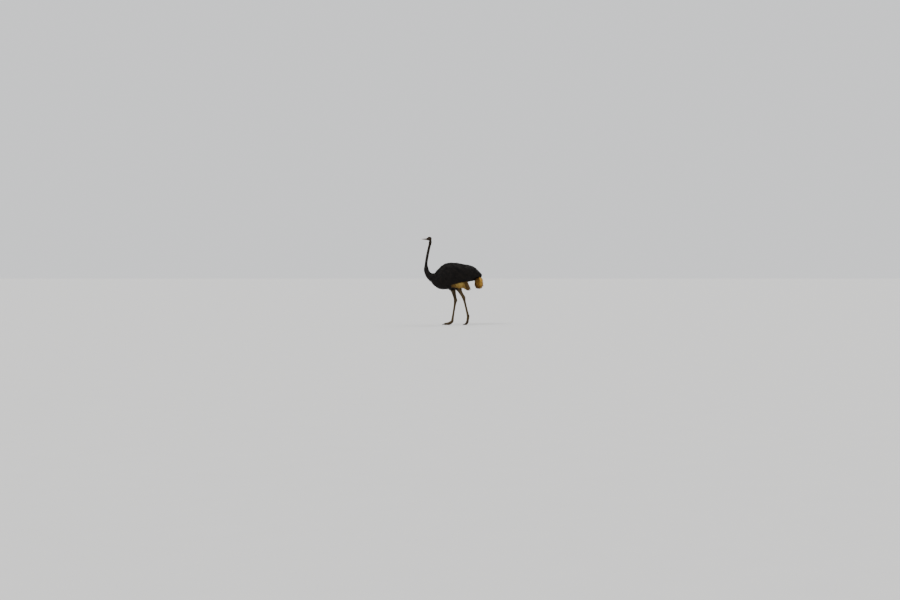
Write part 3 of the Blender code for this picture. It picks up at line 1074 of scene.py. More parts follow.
    def _knuckles(self, corners: Array) -> Array:
        """How far the joints of the toes and the hocks stand out.

        Args:
            corners: The mesh's corners.

        Returns:
            One height for each corner.
        """
        swell = np.zeros(len(corners))
        low = corners[:, 2] < 0.24
        points = corners[low]
        nearest = np.full(len(points), 0.05)
        toes = np.zeros(len(points))
        for leg in LEGS:
            away = np.linalg.norm(corners - np.array(leg.hock), axis=1)
            swell += 0.0030 * hill(away / 0.034)
            for rows, joints in ((leg.large_toe, 4), (leg.small_toe, 3)):
                path = leg.toe(rows)
                share = np.linspace(0, 1, 61)
                path = between(path, np.arange(len(path)), share * (len(path) - 1))
                apart = np.linalg.norm(points[:, None] - path[None], axis=2)
                closest = apart.argmin(1)
                reach = apart.min(1)
                wave = 0.0019 * np.cos(2 * np.pi * joints * share[closest]) * ease(share[closest], 0.05, 0.2)
                toes = np.where(reach < nearest, wave, toes)
                nearest = np.minimum(nearest, reach)
        swell[low] += toes
        return swell

    def _sculpt_head(self, corners: Array) -> Array:
        """Brow, lores, cheeks, ears and the corners of the mouth.

        Args:
            corners: The mesh's corners.

        Returns:
            The moved corners.
        """
        plan = self.head
        forward, above, out = plan.local(corners)
        on_head = (corners[:, 2] > 1.86) & (forward > -0.01) & (forward < plan.length + 0.002)
        side = np.sign(corners[:, 0])
        push = np.zeros_like(corners)
        brow = hill((forward - 0.062) / 0.024, (above - 0.043) / 0.007) * ease(out, 0.010, 0.026)
        push[:, 0] += side * 0.0030 * brow
        push[:, 2] += 0.0012 * brow
        lores = hill((forward - 0.094) / 0.010, (above - 0.018) / 0.010) * ease(out, 0.008, 0.02)
        push[:, 0] -= side * 0.0028 * lores
        cheek = hill((forward - 0.048) / 0.020, (above + 0.008) / 0.009) * ease(out, 0.008, 0.02)
        push[:, 0] += side * 0.0018 * cheek
        gape = -0.001 - 0.004 * ease(plan.length - forward, 0.015, 0.05)
        corner = ease(forward, 0.058, 0.070) * ease(out, 0.004, 0.012)
        push[:, 0] -= side * 0.0032 * hill((above - gape) / 0.0015) * corner
        fold = hill((above - gape + 0.0045) / 0.0022) * corner
        push[:, 0] += side * 0.0012 * fold
        ear = np.hypot((forward - plan.ear_forward) / 0.0062, (above - plan.ear_above) / 0.0075)
        push[:, 0] += side * (0.0014 * hill((ear - 1.25) / 0.35) - 0.0055 * (1 - ease(ear, 0.6, 1.05)))
        front = ease(forward, 0.088, 0.104) * ease(np.abs(above - gape), 0.004, 0.022)
        push[:, 1] -= 0.009 * front
        return corners + push * on_head[:, None]

    def _meet_horn(self, corners: Array, edges: Array, frame: dict[str, Any]) -> Array:
        """Lets the skin run out thin on the bill and on the claws.

        Args:
            corners: The skin's corners.
            edges: Its edges.
            frame: The loaded frame.

        Returns:
            The moved corners.
        """
        forward, _, _ = self.head.local(corners)
        share = ease(forward, 0.086, 0.111) * (corners[:, 2] > 1.87)
        root = np.array((0.0, self.head.occiput_y - 0.095, self.head.mouth_z + 0.002))
        bill = [frame["nodes"][name] for name in ("bill_upper", "bill_lower")]
        corners = self._tuck(corners, edges, bill, root, share)
        for leg in LEGS:
            for size, rows in (("large", leg.large_toe), ("small", leg.small_toe)):
                path = leg.toe(rows)
                past = (corners - path[-1]) @ unit(path[-1] - path[-2])
                near = np.linalg.norm(corners - path[-1], axis=1) < 0.032
                share = 0.9 * ease(past, -0.017, 0.0) * near
                claw = [frame["nodes"][f"claw_{size}_{leg.side.word}"]]
                corners = self._tuck(corners, edges, claw, path[-1], share)
        corners[:, 2] = np.maximum(corners[:, 2], 0.0)
        return corners

    @staticmethod
    def _tuck(corners: Array, edges: Array, horn: Sequence[Piece], start: Array,
              share: Array) -> Array:
        """Draws the corners outside horny solids in towards them.

        Args:
            corners: The skin's corners.
            edges: Its edges.
            horn: The solids.
            start: A point on their middle line, at their root.
            share: How strongly each corner is drawn in.

        Returns:
            The moved corners.
        """
        points, faces = welded(horn)
        tree = tree_of(points, faces)
        tip = points[np.linalg.norm(points - start, axis=1).argmax()]
        along = unit(tip - start)
        chosen = np.flatnonzero(share > 0.01)
        for _ in range(3):
            near = corners[chosen]
            met = np.array([tree.find_nearest(point)[0] for point in near])
            away = near - met
            far = np.linalg.norm(away, axis=1)
            radial = near - start - ((near - start) @ along)[:, None] * along
            outside = ((away * radial).sum(1) > 1e-7) * (1 - ease(far, 0.014, 0.022))
            pull = np.zeros_like(corners)
            pull[chosen] = -away * (outside * share[chosen] * (1 - 0.0006 / np.maximum(far, 0.0006)))[:, None]
            corners = corners + smoothed(pull, edges, 2, 0.0)
        return corners

    def _open_eye(self, corners: Array, side: Side) -> Array:
        """Opens the skin that covers one eyeball.

        Args:
            corners: The mesh's corners.
            side: Which one.

        Returns:
            The moved corners.
        """
        plan = self.head
        _, y, z = plan.eye(side)
        reach = np.hypot((corners[:, 1] - y) / plan.opening[0], (corners[:, 2] - z) / plan.opening[1])
        corners = corners.copy()
        on_side = corners[:, 0] * side.value > 0.012
        corners[:, 0] -= side.value * 0.0090 * (1 - ease(reach, 1.0, 1.15)) * on_side
        return corners

    def roots(self, cell: float, chosen: Callable[[Array], Array], seed: int) -> tuple[Array, Array]:
        """Points spread over a part of the skin, about a cell apart.

        Args:
            cell: The size of the cells that hold one root each.
            chosen: Says for each point whether it may be a root.
            seed: Fixes the random draw.

        Returns:
            The roots and the skin's normals there.
        """
        draw = np.random.default_rng(seed)
        faces = triangles_of(self.mesh)
        middle = self.corners[faces].mean(1)
        faces = faces[chosen(middle)]
        a, b, c = (self.corners[faces[:, k]] for k in range(3))
        area = np.linalg.norm(np.cross(b - a, c - a), axis=1) / 2
        count = int(area.sum() / cell**2 * 7)
        pick = draw.choice(len(faces), count, p=area / area.sum())
        u, v = draw.random((2, count, 1))
        folded = u + v > 1
        u, v = np.where(folded, 1 - u, u), np.where(folded, 1 - v, v)
        points = a[pick] + (b[pick] - a[pick]) * u + (c[pick] - a[pick]) * v
        normal = self.normals[faces[pick]].mean(1)
        cells = np.floor(points / cell + 0.37).astype(int)
        _, first = np.unique(cells @ np.array((1, self.cell_key, self.cell_key**2)), return_index=True)
        first.sort()
        return points[first], unit(normal[first])

    def gap(self, points: Array) -> Array:
        """How far points of the skin lie under the tips of the coat."""
        return np.array([self.outer.find_nearest(point)[3] for point in points])

    def nearest(self, points: Array) -> tuple[Array, Array]:
        """The nearest points on the skin, and the normals there."""
        found = [self.tree.find_nearest(point)[:2] for point in points]
        return np.array([hit[0] for hit in found]), np.array([hit[1] for hit in found])


# ---- horn, eyes, lids and scutes ----


def plain(corners: Array, normals: Array) -> Array:
    """No relief at any corner."""
    return np.zeros(len(corners))


@dataclass
class Horn:
    """A horny piece that stands for one solid: finer, without facets, and with its own relief."""

    node: str
    slot: str
    voxel: float
    relief: Callable[[Array, Array], Array]
    rounds: int = 14

    def build(self, frame: dict[str, Any], finish: Material) -> Piece:
        """Makes the piece.

        Args:
            frame: The loaded frame.
            finish: Its material.

        Returns:
            The piece.
        """
        corners, faces = welded([frame["nodes"][self.node]])
        corners, quads, edges = remeshed(corners, faces, self.voxel)
        corners, quads = largest_body(corners, quads, edges)
        name = self.node + "_horn"
        mesh = mesh_from(name, corners, quads)
        corners = smoothed(corners, edges_of(mesh), self.rounds)
        move(mesh, corners)
        normals = normals_of(mesh)
        corners = corners + normals * self.relief(corners, normals)[:, None]
        corners[:, 2] = np.maximum(corners[:, 2], 0.0)
        move(mesh, corners)
        return dressed(name, mesh, finish, (self.node,))


@dataclass
class Claws:
    """The worn claws, one on each toe."""

    voxel: float = 0.0009
    rounds: int = 36

    def build(self, leg: LegPlan, frame: dict[str, Any], finish: Material) -> None:
        """Makes the claws of one leg.

        Args:
            leg: The leg's plan.
            frame: The loaded frame.
            finish: The claws' material.
        """
        for size in ("large", "small"):
            node = f"claw_{size}_{leg.side.word}"
            Horn(node, "claw_horn", self.voxel, plain, self.rounds).build(frame, finish)


@dataclass
class Bill:
    """The flat bill: nostrils in long grooves, a nail at the tip and a rim along the mouth."""

    plan: HeadPlan
    nostril_forward: float = 0.150
    nostril_above: float = 0.0075
    nail_forward: float = 0.202
    voxel: float = 0.0011
    rounds: int = 36

    def upper(self, corners: Array, normals: Array) -> Array:
        """How far the upper half stands out or in.

        Args:
            corners: The mesh's corners.
            normals: The normals there.

        Returns:
            One height for each corner.
        """
        forward, above, out = self.plan.local(corners)
        height = np.zeros(len(corners))
        sides = ease(out, 0.006, 0.011)
        slot = np.hypot((forward - self.nostril_forward) / 0.0085, (above - self.nostril_above) / 0.0024)
        height -= 0.0034 * (1 - ease(slot, 0.45, 1.0)) * sides
        height += 0.0007 * hill((slot - 1.25) / 0.3) * sides
        groove = hill((above - self.nostril_above) / 0.0022) * ease(forward, 0.100, 0.112)
        height -= 0.0011 * groove * (1 - ease(forward, 0.160, 0.176)) * sides
        height -= 0.0005 * hill((forward - self.nail_forward) / 0.0022)
        height += 0.0005 * ease(forward, self.nail_forward, self.nail_forward + 0.007)
        height += 0.0008 * hill(out / 0.0045) * (normals[:, 2] > 0.3)
        height += 0.0006 * hill((above - 0.0018) / 0.0014) * ease(out, 0.004, 0.01)
        return height

    def lower(self, corners: Array, normals: Array) -> Array:
        """How far the lower half stands out or in.

        Args:
            corners: The mesh's corners.
            normals: The normals there.

        Returns:
            One height for each corner.
        """
        forward, above, out = self.plan.local(corners)
        height = -0.0004 * hill((forward - self.nail_forward + 0.004) / 0.0024)
        height -= 0.0008 * hill((out - 0.009) / 0.002) * (normals[:, 2] < -0.3)
        height += 0.0005 * hill((above + 0.0020) / 0.0014)
        return height

    def build(self, frame: dict[str, Any], finish: Material) -> None:
        """Makes both halves."""
        for node, relief in (("bill_upper", self.upper), ("bill_lower", self.lower)):
            Horn(node, "bill_horn", self.voxel, relief, self.rounds).build(frame, finish)


@dataclass
class Eyes:
    """Eyeballs with their corneas, the lids round them and the lashes."""

    plan: HeadPlan
    skin: Skin
    lid_thickness: float = 0.0017
    fold_across: tuple[float, ...] = (0, 0.08, 0.20, 0.38, 0.54, 0.75, 1.0)
    fold_height: tuple[float, ...] = (-1.4, 0.35, 1.0, 0.30, 0.70, 0.25, -0.8)
    cornea_height: float = 0.0011
    cornea_radius: float = 0.0095
    lashes: int = 46

    def _ball(self, side: Side, finish: Material) -> None:
        """One eyeball, its cornea bulging outwards.

        Args:
            side: Which one.
            finish: Its material.
        """
        radius, centre = self.plan.eye_radius, self.plan.eye(side)
        shape = bmesh.new()
        bmesh.ops.create_uvsphere(shape, u_segments=48, v_segments=32, radius=radius)
        for corner in shape.verts:
            bulge = math.exp(-((corner.co.xy.length / self.cornea_radius) ** 2))
            corner.co.z += self.cornea_height * bulge * (corner.co.z > 0)
        turn = Matrix.Translation(Vector(centre)) @ Matrix.Rotation(side.value * math.pi / 2, 4, "Y")
        bmesh.ops.transform(shape, matrix=turn, verts=shape.verts)
        name = f"eyeball_{side.word}"
        dressed(name, finished(name, shape), finish, (f"eye_{side.word}",))

    def _lid_point(self, side: Side, turn: float, across: float) -> Triple:
        """A point on the lids.

        Args:
            side: Which one.
            turn: The way round the eye, in radians.
            across: From 0 at the ball to 1 at the skin.

        Returns:
            The point.
        """
        plan, (_, y, z) = self.plan, self.plan.eye(side)
        reach = 0.86 + 0.54 * across
        sine = math.sin(turn)
        squint = 1.0 - 0.10 * math.cos(turn) * (1 if sine > 0 else 0.4)
        py = y + plan.opening[0] * reach * math.cos(turn)
        pz = z + plan.opening[1] * reach * sine * squint
        sign = side.value
        hit = self.skin.closed.ray_cast(Vector((sign * 0.08, py, pz)), Vector((-sign, 0, 0)))[0]
        thick = self.lid_thickness * (1.0 + 0.5 * max(sine, 0.0))
        profile = np.interp(across, self.fold_across, self.fold_height)
        return hit.x + sign * thick * float(profile), py, pz

    def _lids(self, side: Side, finish: Material) -> None:
        """The two lids as one ring of folds.

        Args:
            side: Which one.
            finish: Their material.
        """
        name = f"lids_{side.word}"
        mesh = sheet(name, 56, 10, lambda u, v: self._lid_point(side, u * 2 * math.pi, v))
        if sum(face.normal.x * face.area for face in mesh.polygons) * side.value < 0:
            mesh.flip_normals()
        for share, value in (("face", 1.0), ("leg", 0.0), ("bare", 1.0)):
            store(mesh, share, np.full(len(mesh.vertices), value))
        dressed(name, mesh, finish)

    def build(self, eye: Material, lid: Material) -> None:
        """Makes both eyes.

        Args:
            eye: The eyeballs' material.
            lid: The lids' material.
        """
        for side in Side:
            self._ball(side, eye)
            self._lids(side, lid)

    def lashes_on(self, side: Side, finish: Material) -> None:
        """The stiff black lashes of one upper lid.

        Args:
            side: Which one.
            finish: The lashes' material.
        """
        draw = np.random.default_rng(61 + side.value)
        spines, ups = [], []
        for share in np.linspace(0, 1, self.lashes):
            turn = math.radians(8 + 164 * share + draw.uniform(-2, 2))
            root = np.array(self._lid_point(side, turn, 0.11))
            back, rise = -0.15 + 0.62 * math.cos(turn), 0.10 * math.sin(turn) - 0.12
            out = unit(np.array((side.value * 0.85, back, rise)))
            length = draw.uniform(0.0080, 0.0115)
            steps = np.linspace(0, 1, 4)[:, None]
            spine = root + out * length * steps + UP * 0.0042 * steps**2
            spines.append(spine)
            ups.append(np.tile(unit(np.cross(out, (0, 1, 0.2))), (4, 1)))
        count = len(spines)
        size = np.full(count, 0.011)
        places = np.stack((np.linspace(0, 1, count), draw.random(count)), 1)
        lay = Lay(np.array(spines), np.array(ups), np.full(count, 0.0010), size, np.zeros(count), places)
        bristle = PlumeKind(0.011, 0.0010, 0, 0.0, 0.0, shaft_width=0.0007, shaft_steps=3)
        coat(f"lashes_{side.word}", lay, bristle.several(60, 1), finish, 10)


@dataclass
class Scutes:
    """The overlapping horny plates down the front of a shank and along the toes."""

    skin: Skin
    lift: float = 0.0009
    overlap: float = 0.0022
    rim_depth: float = 0.0016
    shank_points: int = 12
    shank_pitch: float = 0.0175
    shank_spread: float = 62.0
    toe_pitches: tuple[float, float] = (0.0100, 0.0090)
    toe_spread: float = 54.0

    def _plate(self, name: str, low: Array, high: Array, front: Array,
               spread: float) -> Mesh:
        """One plate round the front of a limb, from its lower to its upper edge.

        Args:
            name: The mesh's name.
            low: The limb's middle at the lower edge.
            high: The middle at the upper edge.
            front: The way that the plate faces.
            spread: Half the angle that it covers.

        Returns:
            The plate's mesh.
        """
        along = unit(high - low)
        side = unit(np.cross(front, along))

        def place(u: float, v: float) -> Vector:
            """A point on the plate, or on its rim inside the skin.

            Args:
                u: The share across.
                v: The share upwards.

            Returns:
                The point.
            """
            edge_u = min(u, 1 - u) < 0.01
            edge_v = min(v, 1 - v) < 0.01
            across = (min(max(u, 0.06), 0.94) - 0.5) / 0.44
            rise = (min(max(v, 0.08), 0.92) - 0.08) / 0.84
            bow = 1 - 0.10 * across**2
            centre = low + (high - low) * (rise * bow + 0.05 * across**2)
            angle = spread * across
            ray = front * math.cos(angle) + side * math.sin(angle)
            hit = self.skin.tree.ray_cast(Vector(centre), Vector(ray), 0.08)[0]
            reach = (hit - Vector(centre)).length if hit is not None else 0.02
            height = self.lift + self.overlap * (1 - rise) ** 1.5 + 0.0006 * math.sin(math.pi * rise)
            height *= 1 - 0.65 * abs(across) ** 3
            if edge_u or edge_v:
                height = -self.rim_depth
            return Vector(centre + ray * (reach + height))

        return sheet(name, 9, 6, place, weld=1e-7)

    def _row(self, path: Array, fronts: Array, pitch: float, spread: float, start: float,
             end: float) -> list[Mesh]:
        """A row of plates along a limb.

        Args:
            path: The limb's middle line.
            fronts: The direction that the plates face, at each point of the path.
            pitch: From one plate to the next.
            spread: Half the angle that a plate covers, in degrees.
            start: The share of the path at which the row starts.
            end: The share at which it ends.

        Returns:
            The plates' meshes.
        """
        steps = np.linalg.norm(np.diff(path, axis=0), axis=1)
        length = np.concatenate(((0,), np.cumsum(steps)))
        count = max(2, round(length[-1] * (end - start) / pitch))
        marks = np.linspace(start, end, count + 1) * length[-1]

        plates = []
        for k in range(count):
            high, low = (between(path, length, mark) for mark in marks[k:k + 2])
            front = between(fronts, length, (marks[k] + marks[k + 1]) / 2)
            along = unit(high - low)
            front = unit(front - along * front.dot(along))
            low = low - along * pitch * 0.10
            wide = math.radians(spread) * (1 + 0.07 * math.sin(2.4 * k) + 0.04 * math.sin(5.1 * k))
            plates.append(self._plate(f"plate_{k}", low, high, front, wide))
        return plates

    def build(self, leg: LegPlan, finish: Material) -> Piece:
        """Makes the plates of one leg.

        Args:
            leg: The leg's plan.
            finish: The plates' material.

        Returns:
            The joined plates.
        """
        hock, ball = np.array(leg.hock), np.array(leg.ball)
        down = unit(ball - hock)
        shank = np.linspace(hock + down * 0.030, ball - down * 0.012, self.shank_points)
        forwards = np.tile((0.0, -1.0, 0.0), (self.shank_points, 1))
        plates = self._row(shank, forwards, self.shank_pitch, self.shank_spread, 0.02, 1.0)
        for rows, pitch in zip((leg.large_toe, leg.small_toe), self.toe_pitches):
            path = leg.toe(rows)
            along = unit(np.gradient(path, axis=0))
            fronts = unit(np.cross(np.cross(along, (0, -0.75, 0.66)), along))
            plates += self._row(path, fronts, pitch, self.toe_spread, 0.10, 0.97)
        name = f"scutes_{leg.side.word}"
        return dressed(name, joined(name, plates), finish)


# ---- feathers ----


@dataclass(frozen=True)
class Template:
    """A small feather mesh: share along, share across and lift for each corner."""

    shape: Array
    faces: Array
    along: Array


@dataclass(frozen=True)
class PlumeKind:
    """How one kind of feather is built: a shaft and pairs of loose barbs."""

    length: float
    width: float
    pairs: int
    barb_width: float
    sweep: float
    bare: float = 0.05
    joints: int = 2
    shaft_width: float = 0.0016
    shaft_steps: int = 4
    curl: float = 0.03
    droop: float = 0.10
    parting: float = 0.30
    fullness: tuple[tuple[float, float], ...] = (
        (0.0, 0.45), (0.25, 0.85), (0.6, 1.0), (0.9, 0.7), (1.0, 0.45),
    )

    def several(self, seed: int, count: int = 6) -> list[Template]:
        """A few feathers of this kind, each from a random draw of its own."""
        return [self.make(seed + k) for k in range(count)]

    def make(self, seed: int) -> Template:
        """One feather of the kind.

        Args:
            seed: Fixes the random draw, so that each seed gives another feather.

        Returns:
            The template, in shares of the feather's length and width.
        """
        draw = np.random.default_rng(seed)
        corners: list[Array] = []
        faces: list[tuple[int, int, int]] = []
        along: list[float] = []

        def blade(points: Array, widths: Array, start: float, end: float, sideways: Array) -> None:
            """Adds a flat tongue through points, which narrows to its last point.

            Args:
                points: The middle line.
                widths: One width for each point.
                start: The tone at the root.
                end: The tone at the tip.
                sideways: The way that the tongue is wide.
            """
            first = len(corners)
            for point, width in zip(points[:-1], widths):
                corners.append(point - sideways * width / 2)
                corners.append(point + sideways * width / 2)
            corners.append(points[-1])
            along.extend(np.repeat(np.linspace(start, end, len(points))[:-1], 2))
            along.append(end)
            for k in range(len(points) - 2):
                a = first + 2 * k
                faces.extend(((a, a + 1, a + 3), (a, a + 3, a + 2)))
            last = first + 2 * (len(points) - 2)
            faces.append((last, last + 1, last + 2))

        shaft = np.linspace(0, self.length * 0.97, self.shaft_steps + 1)
        line = np.stack((shaft, np.zeros_like(shaft), np.full_like(shaft, 0.0004)), 1)
        blade(line, self.shaft_width * np.linspace(1, 0.4, self.shaft_steps), 0, 1, np.array((0, 1.0, 0)))
        for side in (-1, 1):
            shares = np.arange(self.pairs) + draw.uniform(0, 0.8, self.pairs)
            shares = self.bare + (1 - self.bare) * shares / max(self.pairs, 1)
            bunch = np.cumsum(draw.random(self.pairs) < self.parting)
            lead = draw.uniform((0.75, 0.70, -1), (1.20, 1.12, 1), (self.pairs + 1, 3))[bunch]
            own = draw.uniform((0.75, 0.70, -1), (1.20, 1.12, 1), (self.pairs, 3))
            for share, which, (far, wide, wave) in zip(shares, bunch, 0.65 * lead + 0.35 * own):
                full = np.interp(share, *zip(*self.fullness)) * wide
                reach = self.width / 2 * full * side
                sweep = self.length * self.sweep * far * (0.6 + 0.4 * full)
                gather = (shares[bunch == which].mean() - share) * self.length * 0.65
                part = np.linspace(0, 1, self.joints + 1)
                points = np.stack((
                    share * self.length * 0.95 + sweep * part**1.1 + gather * part**2,
                    reach * part**0.8,
                    (wave * self.curl * self.length - self.droop * abs(reach)) * part**2,
                ), 1)
                points[:, 0] = np.minimum(points[:, 0], self.length * 1.03)
                widths = self.barb_width * draw.uniform(0.75, 1.25) * np.linspace(0.7, 1.0, self.joints)
                direction = points[-1, :2] - points[0, :2]
                sideways = np.array((-direction[1], direction[0], 0)) / max(np.hypot(*direction), 1e-6)
                blade(points, widths, share * 0.8, min(share + 0.5 * self.sweep, 1.0), sideways)
        size = np.array((self.length, self.width, self.length))
        return Template(np.array(corners) / size, np.array(faces), np.clip(np.array(along), 0, 1))


@dataclass
class Lay:
    """Where the feathers of one coat piece lie: spines, the ways that they face, and sizes."""

    spines: Array
    ups: Array
    widths: Array
    lengths: Array
    tones: Array
    places: Array

    def __len__(self) -> int:
        """How many feathers there are."""
        return len(self.spines)

    def part(self, chosen: Array) -> Lay:
        """Some of the feathers."""
        return Lay(*(getattr(self, name)[chosen] for name in self.__dataclass_fields__))


def laid(skin: Skin, roots: Array, flow: Callable[[Array], Array], length: Array, height: Array,
         sway: Array, bend: Array, steps: int, gravity: Array) -> tuple[Array, Array]:
    """Spines that start on the skin and follow the lie of the coat over it.

    Args:
        skin: The skin.
        roots: Where the feathers grow.
        flow: Gives the lie of the coat at points.
        length: The feathers' lengths.
        height: How far the tips stand off the skin.
        sway: Each feather's own turn away from the flow, in radians.
        bend: How much further it has turned at its tip.
        steps: The spine's segments.
        gravity: How strongly each feather hangs.

    Returns:
        The spines and the ways that the feathers face, at each of their points.
    """
    here, normal = skin.nearest(roots)
    spine, ups = [here.copy()], [normal.copy()]
    for k in range(steps):
        share = (k + 1) / steps
        way = flow(here)
        way = way - UP * (gravity * (0.4 + share))[:, None]
        way = unit(way - normal * (way * normal).sum(1, keepdims=True))
        turn = sway + bend * share
        turned = np.cos(turn)[:, None] * way + np.sin(turn)[:, None] * np.cross(normal, way)
        base, normal_ahead = skin.nearest(here + turned * (length / steps)[:, None])
        here = base + normal_ahead * (height * share * (2.2 - 1.3 * share))[:, None]
        normal = unit(normal + normal_ahead)
        spine.append(here.copy())
        ups.append(normal.copy())
    return np.stack(spine, 1), np.stack(ups, 1)


def toned(draw: np.random.Generator, mean: Array | float, spread: float, count: int) -> Array:
    """A tone from 0 to 1 for each feather, spread round a mean."""
    return np.clip(mean + draw.normal(0, spread, count), 0, 1)


def coat(name: str, lay: Lay, templates: Sequence[Template], finish: Material,
         seed: int, replaced: Sequence[str] = ()) -> Piece:
    """One coat piece: feathers from a few templates, bent along their spines.

    Args:
        name: The piece's name.
        lay: Where the feathers lie.
        templates: The feathers to choose from.
        finish: The piece's material.
        seed: Fixes the random draw.
        replaced: The solids that the piece stands for.

    Returns:
        The piece.
    """
    draw = np.random.default_rng(seed)
    kinds = draw.integers(0, len(templates), len(lay))
    corners, faces, alongs, tones, maps = [], [], [], [], []
    count = 0
    low, high = lay.places.min(0), lay.places.max(0)
    spots = 0.01 + 0.975 * (lay.places - low) / np.maximum(high - low, 1e-6)
    for kind, template in enumerate(templates):
        some = lay.part(kinds == kind)
        if not len(some):
            continue
        shape = template.shape
        steps = some.spines.shape[1] - 1
        at = np.clip(shape[:, 0], 0, 1) * steps
        first = np.minimum(at.astype(int), steps - 1)
        share = (at - first)[None, :, None]
        line = some.spines[:, first] * (1 - share) + some.spines[:, first + 1] * share
        up = unit(some.ups[:, first] * (1 - share) + some.ups[:, first + 1] * share)
        run = unit(some.spines[:, first + 1] - some.spines[:, first])
        up = unit(up - run * (up * run).sum(-1, keepdims=True))
        side = np.cross(up, run)
        points = (
            line
            + side * (shape[None, :, 1] * some.widths[:, None])[..., None]
            + up * (shape[None, :, 2] * some.lengths[:, None])[..., None]
        )
        number, size = len(some), len(shape)
        corners.append(points.reshape(-1, 3))
        offsets = count + np.arange(number)[:, None, None] * size
        faces.append((template.faces[None] + offsets).reshape(-1, 3))
        count += number * size
        alongs.append(np.tile(template.along, number))
        tones.append(np.repeat(some.tones, size))
        patch = np.stack((shape[:, 1] + 0.5, shape[:, 0]), 1) * 0.003
        maps.append((spots[kinds == kind][:, None, :] + patch[None]).reshape(-1, 2))
    mesh = mesh_from(name, np.concatenate(corners), np.concatenate(faces))
    store(mesh, "along", np.concatenate(alongs))
    store(mesh, "tone", np.concatenate(tones))
    numbers = rows_of(mesh.loops, "vertex_index", 1, np.int32)[:, 0]
    layer = mesh.uv_layers.new(name="OFBake")
    layer.data.foreach_set("uv", np.concatenate(maps)[numbers].astype(np.float32).ravel())
    LOG.info("%s: %d feathers", name, len(lay))
    return dressed(name, mesh, finish, replaced)


@dataclass(frozen=True)
class WingPlan:
    """The folded wing's patch on the flank, from the shoulder back."""

    shoulder: float = 9.7
    tip: float = 2.5
    lobes: int = 5
    plumpness: float = 0.044
    edge: float = 0.005

    def edges(self, share: Array) -> tuple[Array, Array]:
        """The upper edge and the lobed hem.

        Args:
            share: From shoulder 0 to tip 1.

        Returns:
            The two edges' turns away from the back, in radians.
        """
        share = np.clip(share, 0.02, 0.98)
        spread = np.sin(np.pi * share**0.85) ** 0.6
        lobe = np.abs(np.sin(np.pi * self.lobes * share)) * spread
        upper = np.radians(76 - 38 * spread + 4 * share)
        hem = np.radians(90 + 40 * spread + 4 * share + 5 * lobe)
        return upper, hem

    def height(self, share: Array, across: Array) -> Array:
        """How far the coverts stand off the trunk.

        Args:
            share: From shoulder 0 to tip 1.
            across: From the upper edge 0 to the hem 1.

        Returns:
            One height for each place.
        """
        share, across = np.clip(share, 0, 1), np.clip(across, 0, 1)
        lengthwise = np.maximum(np.sin(np.pi * share**0.75), 0) ** 0.7
        return self.edge + self.plumpness * lengthwise * np.sin(np.pi * 0.84 * across**0.9)


class Region(Enum):
    """The parts of the body plumage that are pieces of their own."""

    BACK = "back"
    LEFT = "flank_left"
    RIGHT = "flank_right"
    BELLY = "belly"
    BREAST = "breast"
    VENT = "vent"


